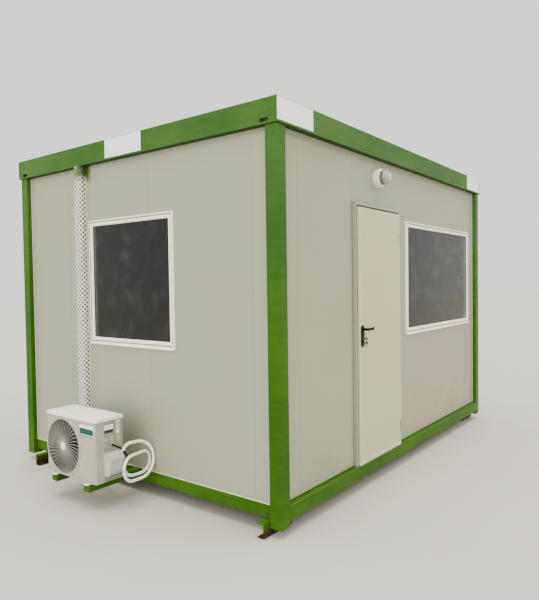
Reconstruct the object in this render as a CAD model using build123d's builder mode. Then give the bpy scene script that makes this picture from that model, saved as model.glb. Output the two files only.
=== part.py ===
from build123d import *
import os
from math import cos, sin, radians

os.makedirs("parts", exist_ok=True)

# Portable site cabin: a green steel frame of posts, base rails and roof beams, filled with
# white sandwich panels, with a door, two windows, a lamp and an outdoor air unit on brackets.
# Millimetres. +X runs along the door side, +Y from the door side to the back, +Z up.
# The origin lies on the ground at the middle of the bounding box.

# Steel frame
cabin_length = 3874
cabin_width = 2920
post_size = 93
post_wall = 4
post_foot_gap = 60
frame_steel = 4
rail_bottom = 95
long_rail_height = 96
end_rail_height = 93
end_rail_proud = 3
roof_beam_height = 157
roof_beam_bottom = 2577
roof_beam_overhang = 14
roof_beam_steel = 3
lifting_slot_length = 70
lifting_slot_height = 24
lifting_slot_in = 88
lifting_slot_up = 24

# Feet, short channels laid along the cabin
foot_length = 300
foot_width = 55
foot_steel = 6
foot_reach = 50
foot_inset = 103
back_foot_reach = 70
back_foot_inset = 245

# Panels
panel_recess = 43
panel_thickness = 50
panel_joint = 1
cut_panel = 180
end_cut_panel = 148
last_panel = 56
end_wall_module = 1000
back_wall_module = 924

# Floor, ceiling and roof
floor_board = 18
joist_width = 40
joist_count = 8
ceiling_thickness = 50
ceiling_bearing = 40
purlin_width = 50
purlin_height = 55
purlin_count = 5
sheet_steel = 1.2
sheet_rib_height = 32
sheet_rib_pitch = 250
sheet_rib_top = 40
sheet_rib_foot = 70
fit_gap = 1

# Door
door_left = 1000
door_width = 789
door_height = 2014
jamb_face = 22
head_face = 30
jamb_proud = 26
leaf_proud = 40
leaf_gap = 8
leaf_lift = 3
stop_gap = 5
door_stop = 20
leaf_thickness = 40
leaf_round = 3
backplate_width = 48
backplate_height = 168
backplate_thickness = 6
backplate_backset = 41
backplate_bottom = 906
lever_height = 137
lever_length = 117
lever_thickness = 14
lever_grip_height = 21
lever_rise = 5
lever_stand_off = 50
spindle_radius = 4
spindle_clearance = 0.3
cylinder_height = 66
cylinder_radius = 8.5
cylinder_proud = 5
key_bow_radius = 11
key_shank_length = 14
key_thickness = 2.5
hinge_radius = 7
hinge_length = 88
hinge_pin_radius = 4
hinge_wing = 2
hinge_from_bottom = 125
hinge_from_top = 165

# Windows
window_sill_height = 1132
window_height = 995
front_window_width = 1669
front_window_share = 0.489
left_window_front = 964
left_window_width = 993
window_flange = 15
window_flange_thickness = 14
window_bar = 31
window_depth = 38
pane_thickness = 20
pane_set_back = 14

# Lamp over the door
lamp_x = 1410
lamp_z = 2430
lamp_radius = 74
lamp_base_depth = 46
lamp_round = 9
lamp_lens_radius = 56
lamp_depth = 126

# Outdoor air unit on the left end
unit_gap = 221
unit_depth = 242
unit_width = 602
unit_height = 457
unit_from_front = 1295
unit_bottom = 203
unit_steel = 6
unit_corner = 14
lid_height = 24
lid_overhang = 5
fan_from_far_end = 214
fan_height = 215
fan_opening_radius = 204
fan_radius = 191
fan_hub_radius = 42
fan_depth = 60
fan_blades = 3
fan_clearance = 12
guard_depth = 5
guard_rim = 5
guard_hub_radius = 30
guard_spokes = 38
guard_spoke_width = 2.8
guard_spoke_turn = 11
shaft_radius = 5
motor_radius = 45
motor_length = 55
coil_thickness = 22
cover_depth = 75
cover_length = 118
cover_height = 162
cover_up = 47
cover_from_back = 57
cover_round = 56
grip_width = 78
grip_height = 56
grip_depth = 4
grip_up = 345
grip_back = 74
bracket_width = 66
bracket_height = 50
bracket_wall = 3
bracket_spacing = 395
bracket_bottom = 140
bracket_reach = 10
unit_foot_width = 50
unit_foot_length = 322
unit_foot_reach = 22

# Wrapped refrigerant pipes, their cable and the trunking up the wall
pipe_radius = 11
pipe_loop_top = 447
pipe_loop_low = 188
pipe_loop_bend = 125
inner_loop_top = 368
inner_loop_low = 200
inner_loop_bend = 83
run_height = 225
run_bend = 60
cable_radius = 6.5
cable_height = 456
cable_over_pipe = 37
trunk_width = 97
trunk_depth = 58
trunk_from_front = 1991
trunk_wall = 3
trunk_round = 24
trunk_bottom = 420

# Places worked out from the sizes above
unit_reach = unit_gap + unit_depth + max(bracket_reach, unit_foot_reach) - panel_recess
lamp_reach = lamp_depth - panel_recess
leaf_face = panel_recess - leaf_proud
spare_wall = cabin_length - post_size - door_left - door_width - front_window_width
front_window_left = door_left + door_width + spare_wall * front_window_share
handle_reach = lever_stand_off + lever_thickness / 2 - leaf_face
front_reach = max(lamp_reach, handle_reach)
right_reach = max(roof_beam_overhang, foot_reach, back_foot_reach)
total_length = unit_reach + cabin_length + right_reach
total_width = front_reach + cabin_width + roof_beam_overhang
left = unit_reach - total_length / 2
right = left + cabin_length
front = front_reach - total_width / 2
back = front + cabin_width
roof_top = roof_beam_bottom + roof_beam_height
long_rail_top = rail_bottom + long_rail_height
end_rail_top = rail_bottom + end_rail_height
inner_left = left + panel_recess + panel_thickness
inner_right = right - panel_recess - panel_thickness
inner_front = front + panel_recess + panel_thickness
inner_back = back - panel_recess - panel_thickness


def block(x, y, z, mode=Mode.ADD):
    """A box between two values on each axis."""
    with Locations(((x[0] + x[1]) / 2, (y[0] + y[1]) / 2, (z[0] + z[1]) / 2)):
        Box(x[1] - x[0], y[1] - y[0], z[1] - z[0], mode=mode)


def save(piece, name):
    piece.part.label = name
    export_step(piece.part, f"parts/{name}.step")


# Corner posts, hollow and square
with BuildPart() as corner_posts:
    with BuildSketch(Plane.XY.offset(post_foot_gap)):
        post_x = [left + post_size / 2, right - post_size / 2]
        post_y = [front + post_size / 2, back - post_size / 2]
        with Locations(*[(x, y) for x in post_x for y in post_y]):
            RectangleRounded(post_size, post_size, post_wall)
            Rectangle(post_size - 2 * post_wall, post_size - 2 * post_wall, mode=Mode.SUBTRACT)
    extrude(amount=roof_beam_bottom - post_foot_gap)
save(corner_posts, "corner_posts")

# Feet, channels with their backs outwards
with BuildPart() as corner_feet:
    for outer, inwards, reach in (
        (front + foot_inset, 1, foot_reach),
        (back - back_foot_inset, -1, back_foot_reach),
    ):
        for end, along in ((left - reach, 1), (right + reach, -1)):
            with BuildSketch(Plane.YZ.offset(end)):
                with Locations((outer + inwards * foot_width / 2, rail_bottom / 2)):
                    Rectangle(foot_width, rail_bottom)
                with Locations((outer + inwards * (foot_width / 2 + foot_steel), rail_bottom / 2)):
                    Rectangle(foot_width, rail_bottom - 2 * foot_steel, mode=Mode.SUBTRACT)
            extrude(amount=along * foot_length)
save(corner_feet, "corner_feet")

# Base rails, channels that open inwards
rail_depth = panel_recess + panel_thickness
with BuildPart() as base_rails_long:
    for face, inwards in ((front, 1), (back, -1)):
        with BuildSketch(Plane.YZ.offset(left + post_size)):
            with Locations((face + inwards * rail_depth / 2, rail_bottom + long_rail_height / 2)):
                Rectangle(rail_depth, long_rail_height)
            with Locations(
                (face + inwards * (rail_depth / 2 + frame_steel), rail_bottom + long_rail_height / 2)
            ):
                Rectangle(rail_depth, long_rail_height - 2 * frame_steel, mode=Mode.SUBTRACT)
        extrude(amount=cabin_length - 2 * post_size)
save(base_rails_long, "base_rails_long")

end_rail_depth = panel_thickness + end_rail_proud
with BuildPart() as base_rails_end:
    for face, inwards in (
        (left + panel_recess - end_rail_proud, 1),
        (right - panel_recess + end_rail_proud, -1),
    ):
        with BuildSketch(Plane.XZ.offset(-front - post_size)):
            with Locations((face + inwards * end_rail_depth / 2, rail_bottom + end_rail_height / 2)):
                Rectangle(end_rail_depth, end_rail_height)
            with Locations(
                (face + inwards * (end_rail_depth / 2 + frame_steel), rail_bottom + end_rail_height / 2)
            ):
                Rectangle(end_rail_depth, end_rail_height - 2 * frame_steel, mode=Mode.SUBTRACT)
        extrude(amount=-(cabin_width - 2 * post_size))
save(base_rails_end, "base_rails_end")

# Roof beams, channels mitred at the corners
beam_left = left - roof_beam_overhang
beam_right = right + roof_beam_overhang
beam_front = front - roof_beam_overhang
beam_back = back + roof_beam_overhang
beam_depth = roof_beam_overhang + panel_recess + panel_thickness
slot_z = roof_beam_bottom + lifting_slot_up


def beam_hollow():
    block(
        (beam_left + roof_beam_steel, beam_right - roof_beam_steel),
        (beam_front + roof_beam_steel, beam_back - roof_beam_steel),
        (roof_beam_bottom + roof_beam_steel, roof_top - roof_beam_steel),
        mode=Mode.SUBTRACT,
    )


outer_corners = [
    (beam_left, beam_front),
    (beam_right, beam_front),
    (beam_right, beam_back),
    (beam_left, beam_back),
]
inner_corners = [
    (beam_left + beam_depth, beam_front + beam_depth),
    (beam_right - beam_depth, beam_front + beam_depth),
    (beam_right - beam_depth, beam_back - beam_depth),
    (beam_left + beam_depth, beam_back - beam_depth),
]
with BuildPart() as roof_beams_long:
    for start, end in ((0, 1), (2, 3)):
        with BuildSketch(Plane.XY.offset(roof_beam_bottom)):
            beam_plan = outer_corners[start], outer_corners[end], inner_corners[end], inner_corners[start]
            Polygon(*beam_plan, align=None)
        extrude(amount=roof_beam_height)
    beam_hollow()
save(roof_beams_long, "roof_beams_long")

with BuildPart() as roof_beams_end:
    for start, end in ((1, 2), (3, 0)):
        with BuildSketch(Plane.XY.offset(roof_beam_bottom)):
            beam_plan = outer_corners[start], outer_corners[end], inner_corners[end], inner_corners[start]
            Polygon(*beam_plan, align=None)
        extrude(amount=roof_beam_height)
    beam_hollow()
    slot_y = [front + lifting_slot_in, back - lifting_slot_in]
    with BuildSketch(Plane.YZ.offset(beam_left)):
        with Locations(*[(y, slot_z) for y in slot_y]):
            SlotOverall(lifting_slot_length, lifting_slot_height)
    extrude(amount=total_length, mode=Mode.SUBTRACT)
save(roof_beams_end, "roof_beams_end")

# Walls of sandwich panels, parted at their joints
wall_front = (front + panel_recess, inner_front)
wall_back = (inner_back, back - panel_recess)
wall_left = (left + panel_recess, inner_left)
wall_right = (inner_right, right - panel_recess)
long_wall_height = (long_rail_top, roof_beam_bottom)
end_wall_height = (end_rail_top, roof_beam_bottom)
half_joint = panel_joint / 2
wall_start_x = left + post_size
wall_end_x = right - post_size
wall_start_y = front + post_size
wall_end_y = back - post_size


def spans(edges):
    """The stretches between panel joints, each short of its joints."""
    for index in range(len(edges) - 1):
        start = edges[index] + (half_joint if index else 0)
        end = edges[index + 1] - (half_joint if index < len(edges) - 2 else 0)
        yield start, end


opening_left = left + door_left
opening_right = opening_left + door_width
opening_top = long_rail_top + door_height
window_low = window_sill_height + window_flange
window_high = window_sill_height + window_height - window_flange

with BuildPart() as front_wall:
    for span in spans([wall_start_x, wall_start_x + cut_panel, opening_left]):
        block(span, wall_front, long_wall_height)
    block(
        (opening_left + panel_joint, opening_right - panel_joint),
        wall_front,
        (opening_top, roof_beam_bottom),
    )
    for span in spans([opening_right, wall_end_x - last_panel, wall_end_x]):
        block(span, wall_front, long_wall_height)
    window_x = left + front_window_left
    block(
        (window_x + window_flange, window_x + front_window_width - window_flange),
        wall_front,
        (window_low, window_high),
        mode=Mode.SUBTRACT,
    )
save(front_wall, "front_wall")

end_edges = [wall_start_y, wall_start_y + end_cut_panel]
end_edges += [wall_start_y + end_cut_panel + end_wall_module * n for n in (1, 2)]
end_edges += [wall_end_y]
with BuildPart() as left_wall:
    for span in spans(end_edges):
        block(wall_left, span, end_wall_height)
    window_y = front + left_window_front
    block(
        wall_left,
        (window_y + window_flange, window_y + left_window_width - window_flange),
        (window_low, window_high),
        mode=Mode.SUBTRACT,
    )
save(left_wall, "left_wall")

with BuildPart() as right_wall:
    for span in spans(end_edges):
        block(wall_right, span, end_wall_height)
save(right_wall, "right_wall")

back_edges = [wall_start_x + back_wall_module * n for n in range(4)] + [wall_end_x]
with BuildPart() as back_wall:
    for span in spans(back_edges):
        block(span, wall_back, long_wall_height)
save(back_wall, "back_wall")

# Floor joists lie in the long rails, and the board lies on them
joist_bottom = rail_bottom + frame_steel
joist_top = long_rail_top - floor_board
joist_run = (front + frame_steel + fit_gap, back - frame_steel - fit_gap)
joist_start = inner_left + joist_width
joist_step = (inner_right - joist_width - joist_start) / (joist_count - 1)
with BuildPart() as floor_joists:
    for n in range(joist_count):
        middle = joist_start + n * joist_step
        block(
            (middle - joist_width / 2, middle + joist_width / 2), joist_run, (joist_bottom, joist_top)
        )
save(floor_joists, "floor_joists")

with BuildPart() as floor:
    block((inner_left, inner_right), (inner_front, inner_back), (joist_top, long_rail_top))
save(floor, "floor")

# Ceiling panel on the lower flanges of the roof beams
ceiling_bottom = roof_beam_bottom + roof_beam_steel
ceiling_top = ceiling_bottom + ceiling_thickness
bearing_in = beam_depth - ceiling_bearing
under_roof_x = (beam_left + bearing_in, beam_right - bearing_in)
under_roof_y = (beam_front + bearing_in, beam_back - bearing_in)
with BuildPart() as ceiling:
    block(under_roof_x, under_roof_y, (ceiling_bottom, ceiling_top))
save(ceiling, "ceiling")

# Purlins across the ceiling, under the roof sheet
purlin_top = ceiling_top + purlin_height
purlin_start = inner_left + purlin_width
purlin_step = (inner_right - purlin_width - purlin_start) / (purlin_count - 1)
with BuildPart() as roof_purlins:
    for n in range(purlin_count):
        middle = purlin_start + n * purlin_step
        block(
            (middle - purlin_width / 2, middle + purlin_width / 2),
            under_roof_y,
            (ceiling_top, purlin_top),
        )
save(roof_purlins, "roof_purlins")

# Ribbed roof sheet, inside the upper flanges
sheet_x = (beam_left + beam_depth + fit_gap, beam_right - beam_depth - fit_gap)
sheet_y = (beam_front + beam_depth + fit_gap, beam_back - beam_depth - fit_gap)
rib_count = int((sheet_x[1] - sheet_x[0] - sheet_rib_foot) // sheet_rib_pitch)
rib_start = (sheet_x[0] + sheet_x[1] - (rib_count - 1) * sheet_rib_pitch) / 2
sheet_line = [(sheet_x[0], 0)]
for n in range(rib_count):
    middle = rib_start + n * sheet_rib_pitch
    sheet_line += [
        (middle - sheet_rib_foot / 2, 0),
        (middle - sheet_rib_top / 2, sheet_rib_height),
        (middle + sheet_rib_top / 2, sheet_rib_height),
        (middle + sheet_rib_foot / 2, 0),
    ]
sheet_line += [(sheet_x[1], 0)]
under_line = [(x, z + sheet_steel) for x, z in reversed(sheet_line)]
with BuildPart() as roof_sheet:
    with BuildSketch(Plane.XZ.offset(-sheet_y[0])):
        with Locations((0, purlin_top)):
            Polygon(*sheet_line, *under_line, align=None)
    extrude(amount=-(sheet_y[1] - sheet_y[0]))
save(roof_sheet, "roof_sheet")

# Door frame: jambs and a head round the leaf, and a stop behind it
leaf_left = opening_left + jamb_face + leaf_gap
leaf_right = opening_right - jamb_face - leaf_gap
leaf_bottom = long_rail_top + leaf_lift
leaf_top = opening_top - head_face - leaf_gap
leaf_y = (front + leaf_face, front + leaf_face + leaf_thickness)
jamb_y = wall_front[0] - jamb_proud
stop_y = leaf_y[1] + stop_gap
with BuildPart() as door_frame:
    block((opening_left, opening_right), (jamb_y, inner_front), (long_rail_top, opening_top))
    block(
        (leaf_left - leaf_gap, leaf_right + leaf_gap),
        (jamb_y, stop_y),
        (long_rail_top, leaf_top + leaf_gap),
        mode=Mode.SUBTRACT,
    )
    block(
        (leaf_left - leaf_gap + door_stop, leaf_right + leaf_gap - door_stop),
        (stop_y, inner_front),
        (long_rail_top, leaf_top + leaf_gap - door_stop),
        mode=Mode.SUBTRACT,
    )
save(door_frame, "door_frame")

# Door leaf, bored for the spindle and the lock
handle_x = leaf_left + backplate_backset
backplate_z = leaf_bottom + backplate_bottom
lever_z = backplate_z + lever_height
lock_z = backplate_z + cylinder_height
with BuildPart() as door_leaf:
    block((leaf_left, leaf_right), leaf_y, (leaf_bottom, leaf_top))
    fillet(door_leaf.faces().sort_by(Axis.Y)[0].edges(), leaf_round)
    with BuildSketch(Plane.XZ.offset(-leaf_y[0])):
        with Locations((handle_x, lever_z)):
            Circle(spindle_radius + spindle_clearance)
        with Locations((handle_x, lock_z)):
            Circle(cylinder_radius)
    extrude(amount=-leaf_thickness, mode=Mode.SUBTRACT)
save(door_leaf, "door_leaf")

# Hinges: the pin and lower knuckle stay on the frame, the upper knuckle lifts off
hinge_x = leaf_right + leaf_gap / 2
hinge_y = leaf_y[0] - hinge_radius - hinge_wing / 2
hinge_z = [leaf_bottom + hinge_from_bottom, leaf_top - hinge_from_top - hinge_length]
half_hinge = hinge_length / 2
wing_y = (leaf_y[0] - hinge_wing, leaf_y[0])
with BuildPart() as hinges_frame:
    for z in hinge_z:
        with BuildSketch(Plane.XY.offset(z)):
            with Locations((hinge_x, hinge_y)):
                Circle(hinge_radius)
        extrude(amount=half_hinge)
        with BuildSketch(Plane.XY.offset(z + half_hinge)):
            with Locations((hinge_x, hinge_y)):
                Circle(hinge_pin_radius)
        extrude(amount=half_hinge * 0.8)
        block((hinge_x, leaf_right + 3 * hinge_radius), (wing_y[0], jamb_y), (z, z + half_hinge))
save(hinges_frame, "hinges_frame")

with BuildPart() as hinges_leaf:
    for z in hinge_z:
        with BuildSketch(Plane.XY.offset(z + half_hinge + spindle_clearance)):
            with Locations((hinge_x, hinge_y)):
                Circle(hinge_radius)
        extrude(amount=half_hinge)
        block(
            (leaf_right - 3 * hinge_radius, hinge_x),
            wing_y,
            (z + half_hinge + spindle_clearance, z + hinge_length + spindle_clearance),
        )
        with BuildSketch(Plane.XY.offset(z + half_hinge)):
            with Locations((hinge_x, hinge_y)):
                Circle(hinge_pin_radius + spindle_clearance)
        extrude(amount=half_hinge * 0.8 + 2 * spindle_clearance, mode=Mode.SUBTRACT)
save(hinges_leaf, "hinges_leaf")

# Handle backplates on both faces of the leaf
with BuildPart() as door_backplates:
    for face in (leaf_y[0] - backplate_thickness, leaf_y[1]):
        with BuildSketch(Plane.XZ.offset(-face)):
            with Locations((handle_x, backplate_z + backplate_height / 2)):
                SlotOverall(backplate_height, backplate_width, rotation=90)
            with Locations((handle_x, lever_z)):
                Circle(lever_grip_height / 2 + spindle_clearance, mode=Mode.SUBTRACT)
            with Locations((handle_x, lock_z)):
                Circle(cylinder_radius, mode=Mode.SUBTRACT)
        extrude(amount=-backplate_thickness)
save(door_backplates, "door_backplates")


def lever(neck_start, outwards):
    """A lever: a round neck, then a bent grip that reaches towards the hinges."""
    neck = lever_stand_off
    reach = lever_length - 2 * lever_thickness
    with BuildPart() as piece:
        with BuildLine() as path:
            FilletPolyline(
                (handle_x, neck_start, lever_z),
                (handle_x, neck_start + outwards * neck, lever_z),
                (handle_x + reach, neck_start + outwards * neck, lever_z),
                (
                    handle_x + lever_length,
                    neck_start + outwards * (neck - lever_thickness),
                    lever_z + lever_rise,
                ),
                radius=lever_thickness,
            )
        with BuildSketch(Plane(origin=path.line @ 0, x_dir=(1, 0, 0), z_dir=path.line % 0)):
            Ellipse(lever_thickness / 2, lever_grip_height / 2)
        sweep()
    return piece


lever_outside = lever(leaf_y[0] - spindle_clearance, -1)
save(lever_outside, "lever_outside")
lever_inside = lever(leaf_y[1] + spindle_clearance, 1)
save(lever_inside, "lever_inside")

with BuildPart() as handle_spindle:
    with BuildSketch(Plane.XZ.offset(-leaf_y[0] + spindle_clearance)):
        with Locations((handle_x, lever_z)):
            Circle(spindle_radius)
    extrude(amount=-(leaf_thickness + 2 * spindle_clearance))
save(handle_spindle, "handle_spindle")

# Lock cylinder and the key left in it
cylinder_face = leaf_y[0] - backplate_thickness - cylinder_proud
with BuildPart() as lock_cylinder:
    with BuildSketch(Plane.XZ.offset(-cylinder_face)):
        with Locations((handle_x, lock_z)):
            Circle(cylinder_radius)
    extrude(amount=-(leaf_thickness + 2 * backplate_thickness + 2 * cylinder_proud))
save(lock_cylinder, "lock_cylinder")

with BuildPart() as door_key:
    block(
        (handle_x - key_thickness / 2, handle_x + key_thickness / 2),
        (cylinder_face - key_shank_length, cylinder_face),
        (lock_z - key_thickness * 1.5, lock_z + key_thickness * 1.5),
    )
    with BuildSketch(Plane.YZ.offset(handle_x - key_thickness / 2)):
        with Locations((cylinder_face - key_shank_length - key_bow_radius * 0.8, lock_z)):
            Circle(key_bow_radius)
            Circle(key_bow_radius / 3, mode=Mode.SUBTRACT)
    extrude(amount=key_thickness)
save(door_key, "door_key")


# Windows: a frame with an outer flange, and one sealed pane
def window_frame(width):
    """The outline of a window from outside, as a sketch offset by offset."""
    frame_x = width / 2
    frame_z = window_height / 2
    with BuildPart() as piece:
        block((-frame_x, frame_x), (-window_flange_thickness, 0), (-frame_z, frame_z))
        block(
            (-frame_x + window_flange, frame_x - window_flange),
            (0, window_depth),
            (-frame_z + window_flange, frame_z - window_flange),
        )
        block(
            (-frame_x + window_flange + window_bar, frame_x - window_flange - window_bar),
            (-window_flange_thickness, window_depth),
            (-frame_z + window_flange + window_bar, frame_z - window_flange - window_bar),
            mode=Mode.SUBTRACT,
        )
        outer_edges = piece.faces().sort_by(Axis.Y)[0].outer_wire().edges()
        fillet(outer_edges, window_flange_thickness / 3)
    return piece.part


def window_pane(width):
    pane_x = width / 2 - window_flange - window_bar
    pane_z = window_height / 2 - window_flange - window_bar
    with BuildPart() as piece:
        start = pane_set_back - window_flange_thickness
        block((-pane_x, pane_x), (start, start + pane_thickness), (-pane_z, pane_z))
    return piece.part


window_middle_z = window_sill_height + window_height / 2
front_window_at = Location(
    (left + front_window_left + front_window_width / 2, front + panel_recess, window_middle_z)
)
left_window_at = Location(
    (left + panel_recess, front + left_window_front + left_window_width / 2, window_middle_z),
    (0, 0, -90),
)
for name, width, place in (
    ("front_window", front_window_width, front_window_at),
    ("left_window", left_window_width, left_window_at),
):
    with BuildPart() as frame_piece:
        add(place * window_frame(width))
    save(frame_piece, name + "_frame")
    with BuildPart() as pane_piece:
        add(place * window_pane(width))
    save(pane_piece, name + "_glass")

# Round lamp: a base with a rounded rim and a domed lens
wall_face = front + panel_recess
with BuildPart() as lamp_base:
    with BuildSketch(Plane.XZ.offset(-wall_face)):
        with Locations((left + lamp_x, lamp_z)):
            Circle(lamp_radius)
    extrude(amount=lamp_base_depth)
    fillet(lamp_base.faces().sort_by(Axis.Y)[0].edges(), lamp_round)
save(lamp_base, "lamp_base")

with BuildPart() as lamp_lens:
    lens_centre = Plane(
        origin=(left + lamp_x, wall_face - lamp_base_depth, lamp_z), x_dir=(1, 0, 0), z_dir=(0, 0, 1)
    )
    dome = lamp_depth - lamp_base_depth
    with BuildSketch(lens_centre):
        with BuildLine():
            Line((0, 0), (lamp_lens_radius, 0))
            Line((lamp_lens_radius, 0), (lamp_lens_radius, -dome / 4))
            Spline(
                (lamp_lens_radius, -dome / 4),
                (lamp_lens_radius * 0.76, -dome * 0.76),
                (0, -dome),
                tangents=((0, -1), (-1, 0)),
            )
            Line((0, -dome), (0, 0))
        make_face()
    revolve(axis=Axis((left + lamp_x, wall_face, lamp_z), (0, 1, 0)))
save(lamp_lens, "lamp_lens")

# Outdoor air unit: casing with a round fan opening and an open back
unit_back = left + panel_recess - unit_gap
unit_front = unit_back - unit_depth
unit_near = front + unit_from_front
unit_far = unit_near + unit_width
unit_top = unit_bottom + unit_height
casing_top = unit_top - lid_height
fan_y = unit_far - fan_from_far_end
fan_z = unit_bottom + fan_height
with BuildPart() as unit_casing:
    block((unit_front, unit_back), (unit_near, unit_far), (unit_bottom, casing_top))
    corner_edges = unit_casing.edges().filter_by(Axis.Z)
    fillet(corner_edges, unit_corner)
    block(
        (unit_front + unit_steel, unit_back - unit_steel),
        (unit_near + unit_steel, unit_far - unit_steel),
        (unit_bottom + unit_steel, casing_top),
        mode=Mode.SUBTRACT,
    )
    with BuildSketch(Plane.YZ.offset(unit_front)):
        with Locations((fan_y, fan_z)):
            Circle(fan_opening_radius)
    extrude(amount=unit_steel, mode=Mode.SUBTRACT)
    block(
        (unit_back - unit_steel, unit_back),
        (unit_near + cover_length, unit_far - 4 * unit_steel),
        (unit_bottom + 3 * unit_steel, casing_top - 3 * unit_steel),
        mode=Mode.SUBTRACT,
    )
    block(
        (unit_front + grip_back, unit_front + grip_back + grip_width),
        (unit_near, unit_near + grip_depth),
        (unit_bottom + grip_up, unit_bottom + grip_up + grip_height),
        mode=Mode.SUBTRACT,
    )
save(unit_casing, "unit_casing")

with BuildPart() as unit_lid:
    block(
        (unit_front - lid_overhang, unit_back + lid_overhang),
        (unit_near - lid_overhang, unit_far + lid_overhang),
        (casing_top, unit_top),
    )
    fillet(unit_lid.edges().filter_by(Axis.Z), unit_corner + lid_overhang)
    fillet(unit_lid.faces().sort_by(Axis.Z)[-1].edges(), lid_height / 3)
save(unit_lid, "unit_lid")

# Coil inside the open back
with BuildPart() as unit_coil:
    block(
        (unit_back - unit_steel - coil_thickness, unit_back - unit_steel),
        (unit_near + cover_length - unit_steel, unit_far - unit_steel),
        (unit_bottom + unit_steel, casing_top),
    )
save(unit_coil, "unit_coil")

# Fan guard: rim, hub and curved spokes
spoke_start = guard_hub_radius - guard_spoke_width
spoke_end = fan_opening_radius - guard_rim / 2
spoke_middle = (spoke_start + spoke_end) / 2
end_turn = radians(guard_spoke_turn)
middle_turn = end_turn / 3
with BuildSketch(mode=Mode.PRIVATE) as guard_spoke:
    with BuildLine():
        ThreePointArc(
            (spoke_start, 0),
            (spoke_middle * cos(middle_turn), spoke_middle * sin(middle_turn)),
            (spoke_end * cos(end_turn), spoke_end * sin(end_turn)),
        )
    trace(line_width=guard_spoke_width)

with BuildPart() as fan_guard:
    with BuildSketch(Plane.YZ.offset(unit_front)):
        with Locations((fan_y, fan_z)):
            Circle(fan_opening_radius + guard_rim)
            Circle(fan_opening_radius - guard_rim, mode=Mode.SUBTRACT)
            Circle(guard_hub_radius)
    extrude(amount=-guard_depth)
    with BuildSketch(Plane.YZ.offset(unit_front - guard_depth / 2)):
        with Locations((fan_y, fan_z)):
            with PolarLocations(0, guard_spokes):
                add(guard_spoke.sketch)
    extrude(amount=-guard_depth / 2)
save(fan_guard, "fan_guard")

# Fan with three swept blades, on the motor's shaft
fan_front = unit_front + unit_steel + fan_clearance
fan_middle = fan_front + fan_depth / 2
with BuildPart() as fan:
    with BuildSketch(Plane.YZ.offset(fan_front)):
        with Locations((fan_y, fan_z)):
            Circle(fan_hub_radius)
    extrude(amount=fan_depth)
    for n in range(fan_blades):
        turn = n * 360 / fan_blades
        root = Plane(
            origin=(
                fan_middle,
                fan_y + (fan_hub_radius - 6) * cos(radians(turn)),
                fan_z + (fan_hub_radius - 6) * sin(radians(turn)),
            ),
            x_dir=(0, -sin(radians(turn)), cos(radians(turn))),
            z_dir=(0, cos(radians(turn)), sin(radians(turn))),
        )
        tip = root.offset(fan_radius - fan_hub_radius)
        with BuildSketch(root):
            Rectangle(60, 4, rotation=38)
        with BuildSketch(tip):
            Rectangle(130, 3, rotation=20)
        loft()
    with BuildSketch(Plane.YZ.offset(fan_middle)):
        with Locations((fan_y, fan_z)):
            Circle(shaft_radius + spindle_clearance)
    extrude(amount=fan_depth, mode=Mode.SUBTRACT)
save(fan, "fan")

with BuildPart() as fan_motor:
    motor_front = fan_front + fan_depth + fan_clearance / 2
    with BuildSketch(Plane.YZ.offset(fan_middle)):
        with Locations((fan_y, fan_z)):
            Circle(shaft_radius)
    extrude(amount=motor_front - fan_middle)
    with BuildSketch(Plane.YZ.offset(motor_front)):
        with Locations((fan_y, fan_z)):
            Circle(motor_radius)
    extrude(amount=motor_length)
    block(
        (motor_front + motor_length, motor_front + motor_length + unit_steel),
        (fan_y - motor_radius, fan_y + motor_radius),
        (unit_bottom + unit_steel, casing_top),
    )
save(fan_motor, "fan_motor")

# Valve cover on the near side of the unit
with BuildPart() as valve_cover:
    cover_z = unit_bottom + cover_up
    with BuildSketch(Plane.YZ.offset(unit_back - cover_from_back - cover_length)):
        with Locations((unit_near - cover_depth / 2, cover_z + cover_height / 2)):
            Rectangle(cover_depth, cover_height)
    extrude(amount=cover_length)
    fillet(
        valve_cover.edges().filter_by(Axis.X).group_by(Axis.Y)[0],
        cover_round,
    )
save(valve_cover, "valve_cover")

# Brackets out from the end rail, with the unit's feet on them
bracket_front = unit_front - bracket_reach
bracket_y = [unit_near + (unit_width - bracket_spacing) / 2 + n * bracket_spacing for n in (0, 1)]
rail_face = left + panel_recess - end_rail_proud
with BuildPart() as unit_brackets:
    for middle in bracket_y:
        with BuildSketch(Plane.YZ.offset(bracket_front)):
            with Locations((middle, bracket_bottom + bracket_height / 2)):
                Rectangle(bracket_width, bracket_height)
                Rectangle(
                    bracket_width - 2 * bracket_wall,
                    bracket_height - 2 * bracket_wall,
                    mode=Mode.SUBTRACT,
                )
        extrude(amount=rail_face - bracket_front)
save(unit_brackets, "unit_brackets")

bracket_top = bracket_bottom + bracket_height
with BuildPart() as unit_feet:
    for middle in bracket_y:
        block(
            (unit_front - unit_foot_reach, unit_front - unit_foot_reach + unit_foot_length),
            (middle - unit_foot_width / 2, middle + unit_foot_width / 2),
            (bracket_top, unit_bottom),
        )
    fillet(unit_feet.edges().filter_by(Axis.Z).group_by(Axis.X)[0], unit_foot_width / 3)
save(unit_feet, "unit_feet")

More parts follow.
